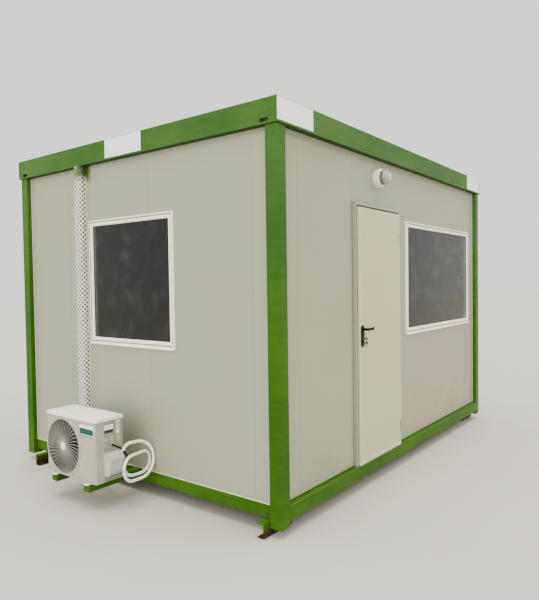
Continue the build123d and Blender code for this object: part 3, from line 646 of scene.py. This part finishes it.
# Window frames, made lying flat and then set in the wall. Each step has its width and its rise.
FRAME_STEPS = (
    (0.003, 0.004), (0.008, 0.0), (0.0015, -0.010), (0.009, 0.0), (0.0015, 0.009),
    (0.0165, 0.0), (0.002, -0.005), (0.005, -0.003),
)
GROOVE_STEPS = (2, 3)
EDGE_DEPTH = 0.004
FLANGE_STANDS_OUT = 0.014
FLANGE_WIDTH = 0.015
GASKET_INSET = 0.046
GASKET_WIDTH = 0.004
GASKET_BACK, GASKET_FACE = -0.0145, -0.0095
SILL_DROP = 0.012


def pulled_in(shape, lines, inset, z):
    """Extrude a loop of edges to a depth, drawn in on all four sides, and give the new loop."""
    made = bmesh.ops.extrude_edge_only(shape, edges=lines)["geom"]
    for vert in (item for item in made if isinstance(item, bmesh.types.BMVert)):
        vert.co.x -= math.copysign(inset, vert.co.x)
        vert.co.y -= math.copysign(inset, vert.co.y)
        vert.co.z = z
    edges = [item for item in made if isinstance(item, bmesh.types.BMEdge)]
    return [line for line in edges if len(line.link_faces) == 1]


def window_profile(node, name, place, width, height, depth):
    """Flange, shadow groove, sash bar and glazing bead: one closed moulding round the pane."""
    shape = bmesh.new()
    start = Matrix.Translation((0, 0, -EDGE_DEPTH)) @ Matrix.Diagonal((width, height, 1, 1))
    bmesh.ops.create_grid(shape, x_segments=1, y_segments=1, size=0.5, matrix=start)
    (pane,) = shape.faces
    bead_depth = sum(rise for _, rise in FRAME_STEPS) - EDGE_DEPTH
    to_back = (0.0004, -depth - bead_depth)
    for step, (thickness, rise) in enumerate((*FRAME_STEPS, to_back)):
        band = bmesh.ops.inset_region(
            shape, faces=[pane], thickness=thickness, depth=rise, use_even_offset=True, use_boundary=True,
        )["faces"]
        # Painted shade: the groove steps take the grey finish.
        for face in band:
            face.material_index = int(step in GROOVE_STEPS)
    back_rim = list(pane.edges)
    rim = [line for line in shape.edges if line.is_boundary]
    bmesh.ops.delete(shape, geom=[pane], context="FACES_ONLY")
    for inset, z in ((0, -FLANGE_STANDS_OUT), (FLANGE_WIDTH, -FLANGE_STANDS_OUT), (0, -depth)):
        rim = pulled_in(shape, rim, inset, z)
    bmesh.ops.bridge_loops(shape, edges=rim + back_rim)
    piece = Piece()
    piece.join(shape, place, finish=None)
    piece.done(name + "_profile", [upvc, groove_shade_grey], instead=(node,))


def window_gasket(name, place, width, height):
    piece = Piece()
    reach_x, reach_z = width / 2 - GASKET_INSET, height / 2 - GASKET_INSET
    half = GASKET_WIDTH / 2
    for side in (-1, 1):
        x = side * (reach_x - half)
        piece.slab((x - half, -reach_z, GASKET_BACK), (x + half, reach_z, GASKET_FACE), 0.0012)
        y = side * (reach_z - half)
        piece.slab((-reach_x, y - half, GASKET_BACK), (reach_x, y + half, GASKET_FACE), 0.0012)
    piece.moved(place)
    piece.done(name + "_gasket", [gasket])


def window_sill(name, place, width, height):
    """Drip sill under the frame, and two weep caps on the lower bar."""
    piece = Piece()
    end_x = width / 2 - 0.002
    bottom = -height / 2
    piece.slab((-end_x, bottom - SILL_DROP, -FLANGE_STANDS_OUT), (end_x, bottom + 0.006, 0.006), 0.003, 2)
    half_cap = 0.014
    for side in (-1, 1):
        x = side * width * 0.36
        piece.slab((x - half_cap, bottom + 0.021, -0.006), (x + half_cap, bottom + 0.028, 0.0012), 0.0015, 2)
    piece.moved(place)
    piece.done(name + "_sill", [upvc])


def window(name, outwards):
    node = name + "_frame"
    low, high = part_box(node)
    out, up = Vector(outwards), Vector((0, 0, 1))
    along = up.cross(out)
    size = high - low
    width, height, depth = abs(size.dot(along)), size.z, abs(size.dot(out))
    place = Matrix((along, up, out)).transposed().to_4x4()
    middle = (low + high) / 2
    face_at = max(low.dot(out), high.dot(out))
    place.translation = middle + out * (face_at - middle.dot(out))
    window_profile(node, name, place, width, height, depth)
    window_gasket(name, place, width, height)
    window_sill(name, place, width, height)


# Door: seals in the gaps round the leaf, lines on the frame, screws and keys
LEAF_GAP = 0.008
SEAL_SET_BACK = 0.004
SEAL_DEPTH = 0.012
SEAL_WIDTH = 0.005
FRAME_LINE_WIDTH = 0.008


def door_seals():
    """On the lever side the seal fills the gap, flush with the frame. A strip closes the head, and a dark
    strip on the frame's face just above the leaf is a painted shadow line.
    """
    piece = Piece()
    near = door_low.y + SEAL_SET_BACK
    back = near + SEAL_DEPTH
    top = leaf_high.z + LEAF_GAP
    hinge_side = leaf_high.x + 0.0022
    piece.slab((hinge_side, near, leaf_low.z), (hinge_side + SEAL_WIDTH, back, top), 0.0012)
    piece.slab(
        (leaf_low.x - LEAF_GAP, door_low.y + 0.0002, leaf_low.z), (leaf_low.x - 0.0012, back, top),
        0.0006,
    )
    side_gap = LEAF_GAP - 0.001
    over = leaf_high.z + 0.002
    piece.slab(
        (leaf_low.x - side_gap, near, over), (leaf_high.x + side_gap, back, over + SEAL_WIDTH), 0.0012,
    )
    # Painted shadow: a dark strip on the frame's face just above the leaf.
    piece.slab(
        (leaf_low.x - 0.002, door_low.y - 0.002, leaf_high.z + 0.004),
        (leaf_high.x + 0.002, near, leaf_high.z + 0.015), 0.0008,
    )
    piece.done("door_seal", [gasket])


def door_frame_shadow_line():
    """Painted shadow: a dark line where the lever side of the frame meets the wall."""
    piece = Piece()
    piece.slab(
        (door_low.x - FRAME_LINE_WIDTH, wall_y - 0.0012, door_low.z + PANEL_LIP),
        (door_low.x, wall_y + 0.0005, door_high.z), 0.0004,
    )
    piece.done("door_frame_shadow_line", [painted_shade_grey])


def door_threshold():
    piece = Piece()
    piece.slab(
        (leaf_low.x, leaf_low.y + 0.001, long_rail_top + 0.0002),
        (leaf_high.x, leaf_high.y, long_rail_top + 0.0022), 0.0008,
    )
    piece.done("door_threshold", [steel])


def backplate_screws():
    """A screw at each end of the backplate, with a slot across its head."""
    piece = Piece()
    head, slot_reach, half_slot = 0.0042, 0.0032, 0.0005
    face = plate_low.y
    for z in (plate_low.z + 0.011, plate_high.z - 0.011):
        piece.rod((handle_x, face + 0.001, z), (handle_x, face - 0.0012, z), head, 18, 0.0008)
        piece.slab(
            (handle_x - slot_reach, face - 0.0016, z - half_slot),
            (handle_x + slot_reach, face - 0.0011, z + half_slot), 0.0002,
        )
    piece.done("backplate_screws", [steel], "door")


KEY_BOW = ((0.0030, -0.0013), (0.0108, -0.0013), (0.0116, 0.0), (0.0108, 0.0013), (0.0030, 0.0013))


def spare_key():
    """A ring through the bow of the key in the lock, and the second key hanging from it."""
    key_low, key_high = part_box("door_key")
    lock_z = (key_low.z + key_high.z) / 2
    bow_y = key_low.y + 0.011
    hang = lock_z - 0.0215
    piece = Piece()
    piece.ring((handle_x, bow_y, lock_z - 0.010), (0, 1, 0.12), 0.0115, 0.0009, 36)
    piece.done("key_ring", [steel], "door")

    piece = Piece()
    piece.turned(KEY_BOW, (handle_x + 0.002, bow_y, hang - 0.0085), (1, 0.1, 0), 32)
    piece.done("spare_key_bow", [black], "door")

    piece = Piece()
    near, far = handle_x + 0.0010, handle_x + 0.0030
    piece.slab((near, bow_y - 0.0042, hang - 0.048), (far, bow_y + 0.0042, hang - 0.018), 0.0007)
    for tooth in range(4):
        z = hang - 0.045 + tooth * 0.006
        piece.slab((near - 0.0002, bow_y - 0.0056, z), (far + 0.0002, bow_y - 0.0036, z + 0.003), 0.0004)
    piece.done("spare_key_blade", [steel], "door")


# Lamp: bezel step round the glass, and ribs on the dome by shares of its radius and depth
BEZEL_STEPS = (
    (0.0005, -0.001), (0.0062, -0.001), (0.0058, 0.0035),
    (0.0042, 0.0052), (0.0020, 0.0052), (0.0005, 0.0040),
)
RIB_TURNS = (4, 17, 30, 43, 56, 69, 80)
RIB_START, RIB_REACH = 0.04, 0.961
DOME_START, DOME_RISE = 0.286, 0.714


def lamp_details():
    """The ribs follow the dome, whose round part starts a little above the bezel."""
    base_low, base_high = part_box("lamp_base")
    centre = (base_low + base_high) / 2
    radius = (lens_high.x - lens_low.x) / 2
    face = base_low.y
    dome = face - lens_low.y
    piece = Piece()
    profile = [(radius + out, height) for out, height in BEZEL_STEPS]
    piece.turned(profile, (centre.x, face, centre.z), (0, -1, 0), 64)
    piece.done("lamp_bezel", [lamp_white])

    piece = Piece()
    for turn in RIB_TURNS:
        share = RIB_START + RIB_REACH * math.cos(math.radians(turn))
        height = DOME_START + DOME_RISE * math.sin(math.radians(turn))
        piece.ring((centre.x, face - dome * height, centre.z), (0, -1, 0), radius * share, 0.0016, 56)
    piece.done("lamp_ribs", [lens])


# Air unit: its front faces -X, and its side with the grip and the vent faces -Y
unit_front, unit_side = unit_low.x, unit_low.y
BADGE_FROM, BADGE_TO = corner.y + 1.316, corner.y + 1.474
SEAM = 0.0016


def badge_plates():
    """A blank two-step plate with a coloured field, and a thin line under it."""
    face = unit_front + 0.001
    back = unit_front - 0.001
    piece = Piece()
    piece.slab((unit_front - 0.0022, BADGE_FROM - 0.006, 0.540), (face, BADGE_TO + 0.003, 0.612), 0.002, 3)
    piece.slab(
        (unit_front - 0.0034, BADGE_FROM - 0.005, 0.589), (back, BADGE_TO + 0.002, 0.609), 0.0018, 3,
    )
    piece.done("unit_badge_plate", [plate_white])

    piece = Piece()
    piece.slab((unit_front - 0.0034, BADGE_FROM, 0.545), (back, BADGE_TO, 0.587), 0.0014, 2)
    piece.done("unit_badge_field", [plate_teal])

    piece = Piece()
    piece.slab((unit_front - 0.0012, BADGE_FROM + 0.012, 0.530), (face, BADGE_TO - 0.006, 0.5335), 0.0006)
    piece.done("unit_badge_line", [dark_print_and_shade])


def unit_seams():
    """Dark lines of painted shade where the front panel, the wrapped edge and the side panel meet."""
    piece = Piece()
    face, back = unit_front - 0.0003, unit_front + 0.002
    side_seam = unit_side + 0.013
    bottom = unit_low.z + 0.016
    piece.slab((face, side_seam, bottom), (back, side_seam + SEAM, unit_high.z - 0.004))
    piece.slab((face, side_seam, bottom), (back, unit_high.y - 0.010, bottom + SEAM))
    piece.slab(
        (seam_x, unit_side - 0.0003, unit_low.z + 0.006),
        (seam_x + SEAM, unit_side + 0.002, unit_high.z - 0.002),
    )
    piece.done("unit_seams", [painted_shade_grey])


GUARD_BEZEL_STEPS = (
    (-0.0035, -0.0002), (0.0050, -0.0002), (0.0042, 0.0035),
    (0.0018, 0.0052), (-0.0012, 0.0052), (-0.0030, 0.0036),
)
HUB_CAP_RADIUS = 0.030


def guard_trim():
    """Bezel round the fan opening, and a cap on the guard's hub."""
    guard_low, guard_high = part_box("fan_guard")
    centre = (guard_low + guard_high) / 2
    opening = (guard_high.y - guard_low.y) / 2
    piece = Piece()
    profile = [(opening + out, height) for out, height in GUARD_BEZEL_STEPS]
    piece.turned(profile, (unit_front - 0.0002, centre.y, centre.z), (-1, 0, 0), 96)
    piece.done("guard_bezel", [shell])

    piece = Piece()
    hub = HUB_CAP_RADIUS
    piece.turned(
        [(0.0002, 0.0), (hub, 0.0), (hub - 0.001, 0.0035), (hub - 0.004, 0.0052), (0.0002, 0.0062)],
        (guard_low.x + 0.002, centre.y, centre.z), (-1, 0, 0), 48,
    )
    piece.done("guard_hub_cap", [enamel])


LID_PADS = 4
LID_BORDER = 0.020
PAD_SPACE = 0.007
PAD_END_SPACE = 0.022


def lid_details():
    """Raised pads along the lid, and a painted shadow line in the joint under its rim."""
    piece = Piece()
    pitch = (lid_high.x - lid_low.x - 2 * LID_BORDER) / LID_PADS
    for pad in range(LID_PADS):
        x = lid_low.x + LID_BORDER + pad * pitch
        piece.slab(
            (x + PAD_SPACE, lid_low.y + PAD_END_SPACE, lid_high.z - 0.003),
            (x + pitch - PAD_SPACE, lid_high.y - PAD_END_SPACE, lid_high.z + 0.0035), 0.003, 3,
        )
    piece.done("unit_lid_pressings", [enamel])

    piece = Piece()
    inset = 0.004
    piece.slab(
        (lid_low.x + inset, lid_low.y + inset, lid_low.z - 0.0035),
        (lid_high.x - inset, lid_high.y - inset, lid_low.z + 0.002), 0.0008,
    )
    piece.done("unit_lid_shadow", [painted_shade_grey])


GRIP_FROM = corner.x - 0.346
GRIP_WIDTH = 0.078
VENT_FROM = corner.x - 0.243
VENT_SLOTS = 3
SIDE_PRESSINGS = (
    (-0.345, 0.488, 0.034, 0.028), (-0.293, 0.470, 0.032, 0.050), (-0.240, 0.478, 0.030, 0.042),
    (-0.345, 0.452, 0.022, 0.016),
)


def side_fittings():
    """On the side panel: a grip over a dark slab of painted shade in its recess, a slotted vent with dark
    slabs of painted shade for its slots, and pressed shapes.
    """
    into_side = unit_side + 0.001
    piece = Piece()
    piece.slab(
        (GRIP_FROM + 0.001, unit_side - 0.007, 0.572),
        (GRIP_FROM + GRIP_WIDTH - 0.001, unit_side + 0.006, 0.606), 0.006, 4,
    )
    piece.slab((VENT_FROM, unit_side - 0.0022, 0.552), (VENT_FROM + 0.034, into_side, 0.628), 0.0016, 2)
    piece.slab(
        (VENT_FROM + 0.001, unit_side - 0.004, 0.532), (VENT_FROM + 0.026, into_side, 0.549), 0.0016, 2,
    )
    piece.done("unit_grip_and_vent", [enamel])

    piece = Piece()
    for offset, z, wide, tall in SIDE_PRESSINGS:
        x = corner.x + offset
        piece.slab((x, unit_side - 0.0028, z), (x + wide, into_side, z + tall), 0.0024, 3)
    piece.done("unit_side_pressings", [pressing])

    piece = Piece()
    # Painted shade: a dark slab in the lower part of the grip's recess, and dark slabs for the vent slots.
    piece.slab(
        (GRIP_FROM + 0.002, unit_side + 0.0005, 0.549),
        (GRIP_FROM + GRIP_WIDTH - 0.002, unit_side + 0.0038, 0.572), 0.001,
    )
    for slot in range(VENT_SLOTS):
        x = VENT_FROM + 0.006 + slot * 0.009
        piece.slab((x, unit_side - 0.0026, 0.560), (x + 0.0042, unit_side - 0.0018, 0.620), 0.0003)
    piece.done("unit_side_slots", [dark_print_and_shade])


SIDE_SCREWS = (
    (0.012, 0.030), (0.012, 0.200), (0.012, 0.395), (0.214, 0.395), (0.214, 0.150), (0.100, 0.030),
)
LID_SCREWS = (0.020, 0.300, 0.580)


def unit_screws():
    """Screws in the side panel and the lid's front rim, and bolts on the feet."""
    piece = Piece()
    for along, up in SIDE_SCREWS:
        x, z = unit_low.x + along, unit_low.z + up
        piece.rod((x, unit_side + 0.001, z), (x, unit_side - 0.0018, z), 0.0042, 16, 0.0009)
    z = lid_low.z + 0.010
    for along in LID_SCREWS:
        y = unit_low.y + along
        piece.rod((lid_low.x + 0.001, y, z), (lid_low.x - 0.0016, y, z), 0.004, 16, 0.0008)
    foot_low, foot_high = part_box("unit_feet")
    x = foot_low.x + 0.012
    for y in (foot_low.y + 0.025, foot_high.y - 0.025):
        piece.rod((x, y, foot_high.z), (x, y, foot_high.z + 0.007), 0.008, 6, 0.001)
    piece.done("unit_screws", [steel])


FIN_PITCH = 0.0072
FIN_THICKNESS = 0.0012
WIRE_RADIUS = 0.0013


def coil_details():
    """Fins over the back of the coil, and the wires that guard them."""
    coil_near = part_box("unit_coil")[0].y
    piece = Piece()
    y = coil_near + 0.012
    while y < unit_high.y - 0.028:
        piece.slab(
            (unit_high.x - 0.0065, y, unit_low.z + 0.022),
            (unit_high.x - 0.0035, y + FIN_THICKNESS, unit_high.z - 0.022),
        )
        y += FIN_PITCH
    piece.done("coil_fins_in_shade", [coil_fins_in_shade])

    piece = Piece()
    x = unit_high.x - 0.001
    for wire in range(7):
        z = unit_low.z + 0.05 + wire * 0.052
        piece.rod((x, coil_near + 0.002, z), (x, unit_high.y - 0.020, z), WIRE_RADIUS, 8)
    x = unit_high.x + 0.0012
    for wire in range(3):
        y = coil_near + 0.09 + wire * 0.14
        piece.rod((x, y, unit_low.z + 0.018), (x, y, unit_high.z - 0.018), WIRE_RADIUS, 8)
    piece.done("coil_guard_wires", [dark_plastic])


COVER_BEND = 0.056
COVER_RIBS = 8
COVER_RIB_PITCH = 0.0145
COVER_RIB_WIDTH = 0.0042


def cover_ribs():
    """Ribs that run over the valve cover's rounded edge and along its top."""
    cover_low, cover_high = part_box("valve_cover")
    bend_y, bend_z = cover_low.y + COVER_BEND, cover_high.z - COVER_BEND
    half = COVER_RIB_WIDTH / 2
    piece = Piece()
    for rib in range(COVER_RIBS):
        x = cover_low.x + 0.016 + rib * COVER_RIB_PITCH
        shape = bmesh.new()
        section = Matrix.Diagonal((COVER_RIB_WIDTH, 0.0022, 0.003, 1))
        bmesh.ops.create_cube(shape, size=1, matrix=section)
        end = [face for face in shape.faces if face.normal.z < -0.9]
        bmesh.ops.delete(shape, geom=end, context="FACES_ONLY")
        bmesh.ops.translate(shape, vec=(0, -COVER_BEND - 0.0006, 0), verts=shape.verts)
        open_lines = [line for line in shape.edges if line.is_boundary]
        bmesh.ops.spin(
            shape, geom=open_lines, cent=(0, 0, 0), axis=(1, 0, 0),
            angle=-math.pi / 2, steps=10, use_merge=False,
        )
        bmesh.ops.holes_fill(shape, edges=shape.edges, sides=0)
        piece.join(shape, Matrix.Translation((x, bend_y, bend_z)))
        piece.slab(
            (x - half, bend_y, cover_high.z - 0.001),
            (x + half, cover_high.y - 0.003, cover_high.z + 0.0017), 0.0006,
        )
    piece.done("cover_ribs", [cover_white])


def cable_clip():
    """Saddle clip where the cable leaves the unit."""
    centre = Vector((corner.x - 0.221, corner.y + 1.250, 0.418))
    half_size = Vector((0.011, 0.010, 0.011))
    piece = Piece()
    piece.slab(centre - half_size, centre + half_size, 0.0035, 3)
    piece.done("cable_clip", [plate_white])


BRACKET_WIDTH = 0.066
BRACKET_STEEL = 0.0028


def bracket_caps():
    """Plates in the open ends of the two brackets."""
    low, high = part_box("unit_brackets")
    piece = Piece()
    for y in (low.y, high.y - BRACKET_WIDTH):
        piece.slab(
            (low.x + 0.0004, y + BRACKET_STEEL, low.z + BRACKET_STEEL),
            (low.x + 0.004, y + BRACKET_WIDTH - BRACKET_STEEL, high.z - BRACKET_STEEL), 0.0006,
        )
    piece.done("bracket_end_plates", [green])


# Woven wrap round the trunking, bent from a flat diamond net
WEAVE_CELL = 0.037
WEAVE_STRAND = 0.0100
WEAVE_MIDDLE, WEAVE_OUT, WEAVE_IN = 0.0012, 0.0018, -0.0012
TRUNK_BEND = 0.024


def trunk_weave():
    straight = trunk_high.x - trunk_low.x - TRUNK_BEND
    arc = TRUNK_BEND * math.pi / 2
    bend_centre = Vector((trunk_low.x + TRUNK_BEND, trunk_low.y + TRUNK_BEND))
    total = 2 * (straight + arc - TRUNK_BEND) + trunk_high.y - trunk_low.y
    across = round(total / WEAVE_CELL)
    up = round((trunk_high.z - trunk_low.z) / WEAVE_CELL)
    tall = trunk_high.z - trunk_low.z - 0.002

    def round_the_trunk(run):
        """The point that far round from the wall, and its direction outwards."""
        mirrored = run > total / 2
        run = min(run, total - run)
        if run < straight:
            spot, out = Vector((trunk_high.x - run, trunk_low.y)), Vector((0, -1))
        elif run < straight + arc:
            turn = (run - straight) / TRUNK_BEND
            out = Vector((-math.sin(turn), -math.cos(turn)))
            spot = bend_centre + out * TRUNK_BEND
        else:
            spot, out = Vector((trunk_low.x, bend_centre.y + run - straight - arc)), Vector((-1, 0))
        if mirrored:
            spot.y, out.y = trunk_low.y + trunk_high.y - spot.y, -out.y
        return spot, out

    shape = bmesh.new()
    spread = Matrix.Translation((total / 2, tall / 2, 0)) @ Matrix.Diagonal((total, tall, 1, 1))
    bmesh.ops.create_grid(shape, x_segments=across, y_segments=up, size=0.5, matrix=spread)
    squares = [line for line in shape.edges if len(line.link_faces) == 2]
    bmesh.ops.poke(shape, faces=shape.faces[:])
    bmesh.ops.dissolve_edges(shape, edges=squares, use_verts=False)
    bmesh.ops.wireframe(
        shape, faces=shape.faces[:], thickness=WEAVE_STRAND, offset=0.0, use_replace=True,
        use_boundary=True, use_even_offset=True, use_relative_offset=False,
    )
    lines = [line for line in shape.edges if line.calc_length() > 0.008]
    bmesh.ops.subdivide_edges(shape, edges=lines, cuts=1)
    for vert in shape.verts:
        run, rise, stand = vert.co
        spot, out = round_the_trunk(min(max(run, 0.0), total))
        spot += out * (WEAVE_MIDDLE + max(min(stand, WEAVE_OUT), WEAVE_IN))
        vert.co = (spot.x, spot.y, trunk_low.z + rise)
    piece = Piece()
    piece.join(shape)
    piece.done("trunk_weave", [trunk_white])


# Blank plates on the roof beams, from and to a distance from the near left corner
FRONT_PLATES = ((-0.012, 0.388), (3.452, 3.872))
END_PLATE = (1.234, 1.660)


def beam_plates():
    top = beam_high.z - 0.002
    piece = Piece()
    for x_from, x_to in FRONT_PLATES:
        piece.slab(
            (corner.x + x_from, beam_low.y - 0.0004, under_beams + 0.014),
            (corner.x + x_to, beam_low.y + 0.0006, top), 0.0003,
        )
    y_from, y_to = END_PLATE
    piece.slab(
        (beam_low.x - 0.0012, corner.y + y_from, under_beams + 0.012),
        (beam_low.x + 0.0002, corner.y + y_to, top), 0.0005,
    )
    piece.done("beam_plates", [plate_white])


# Weld seams at the beam corners, rounded edges and lips on the rails
WELD_RADIUS = 0.0026
EDGE_RADIUS = 0.0022
EDGE_INSET = 0.0015
END_LIP_HEIGHT = 0.054


def frame_edges():
    """The long rails' upper edges are paler: a painted highlight along them."""
    piece = Piece()
    for x in (beam_low.x + 0.0016, beam_high.x - 0.0016):
        for y in (beam_low.y + 0.0022, beam_high.y - 0.0022):
            piece.rod((x, y, beam_low.z), (x, y, beam_high.z), WELD_RADIUS, 10)
    for y in (corner.y + EDGE_INSET, far_corner.y - EDGE_INSET):
        # Finish 1 gives the upper edge rods the painted highlight green.
        for z, finish in ((long_rail_top - 0.001, 1), (long_rail_bottom + 0.001, 0)):
            piece.rod((near_x, y, z), (far_x, y, z), EDGE_RADIUS, 10, finish=finish)

    foot, top = long_rail_top - 0.0005, long_rail_top + PANEL_LIP
    for x_from, x_to in ((near_x, door_low.x), (door_high.x, far_x)):
        piece.slab((x_from, wall_y - 0.003, foot), (x_to, wall_y + 0.0005, top), 0.0008)
    piece.slab((near_x, wall_y_far - 0.0005, foot), (far_x, wall_y_far + 0.003, top), 0.0008)

    end_low, end_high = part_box("base_rails_end")
    bottom = end_low.z + 0.001
    for x, inwards in ((end_low.x, 1), (end_high.x, -1)):
        lip_low, lip_high = sorted((x - inwards * 0.0035, x + inwards * 0.002))
        piece.slab((lip_low, near_y, bottom), (lip_high, far_y, bottom + END_LIP_HEIGHT), 0.0012, 2)
    piece.done("frame_edges", [green, edge_highlight_green])


# Self-drilling screws through the roof sheet into the purlins
SCREW_ROWS = 5
SCREWS_IN_ROW = 9
ROW_INSET = 0.025
SCREW_INSET = 0.15


def roof_screws():
    sheet_low, sheet_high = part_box("roof_sheet")
    purlin_low, purlin_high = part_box("roof_purlins")
    row_pitch = (purlin_high.x - purlin_low.x - 2 * ROW_INSET) / (SCREW_ROWS - 1)
    screw_pitch = (sheet_high.y - sheet_low.y - 2 * SCREW_INSET) / (SCREWS_IN_ROW - 1)
    z = sheet_low.z + 0.0012
    piece = Piece()
    for row in range(SCREW_ROWS):
        x = purlin_low.x + ROW_INSET + row * row_pitch
        for screw in range(SCREWS_IN_ROW):
            y = sheet_low.y + SCREW_INSET + screw * screw_pitch
            piece.rod((x, y, z), (x, y, z + 0.0015), 0.009, 16, 0.0005)
            piece.rod((x, y, z + 0.0012), (x, y, z + 0.0065), 0.0042, 6, 0.0006)
    piece.done("roof_screws", [steel])


sealant_beads()
panel_joints()
window("front_window", (0, -1, 0))
window("left_window", (-1, 0, 0))
door_seals()
door_frame_shadow_line()
door_threshold()
backplate_screws()
spare_key()
lamp_details()
badge_plates()
unit_seams()
guard_trim()
lid_details()
side_fittings()
unit_screws()
coil_details()
cover_ribs()
cable_clip()
bracket_caps()
trunk_weave()
beam_plates()
frame_edges()
roof_screws()


# Floor and light
def stage_floor():
    mesh = bpy.data.meshes.new("floor_stage")
    bm = bmesh.new()
    bmesh.ops.create_circle(bm, cap_ends=True, segments=96, radius=60)
    bm.to_mesh(mesh)
    bm.free()
    floor = bpy.data.objects.new("floor_stage", mesh)
    bpy.context.scene.collection.objects.link(floor)
    made = Finish("floor_pale", Roughness=0.85, Specular_IOR_Level=0.2)
    made.colour(made.paint(made.noise(1.5, 5), (186, 180, 168), (194, 188, 176)))
    mesh.materials.append(made.material)


def sun(name, place, target, power, angle):
    """A sun that shines from a place towards a target. A wider angle gives softer shadows."""
    data = bpy.data.lights.new(name, "SUN")
    data.energy = power
    data.angle = angle
    lamp = bpy.data.objects.new(name, data)
    bpy.context.scene.collection.objects.link(lamp)
    lamp.location = place
    lamp.rotation_euler = (Vector(target) - Vector(place)).to_track_quat("-Z", "Y").to_euler()


stage_floor()
sun("overhead", (0, 0, 12), (0.6, 0.6, 0), 3.4, 0.9)
sun("front_sun", (8, -10, 9), (0, 0, 1), 0.85, 0.3)
sun("left_fill", (-12, -3, 6), (0, 0, 1), 1.9, 0.9)

world = bpy.data.worlds.new("studio")
bpy.context.scene.world = world
world.use_nodes = True
background = world.node_tree.nodes["Background"]
background.inputs["Color"].default_value = tone(244, 244, 239)
background.inputs["Strength"].default_value = 1.55
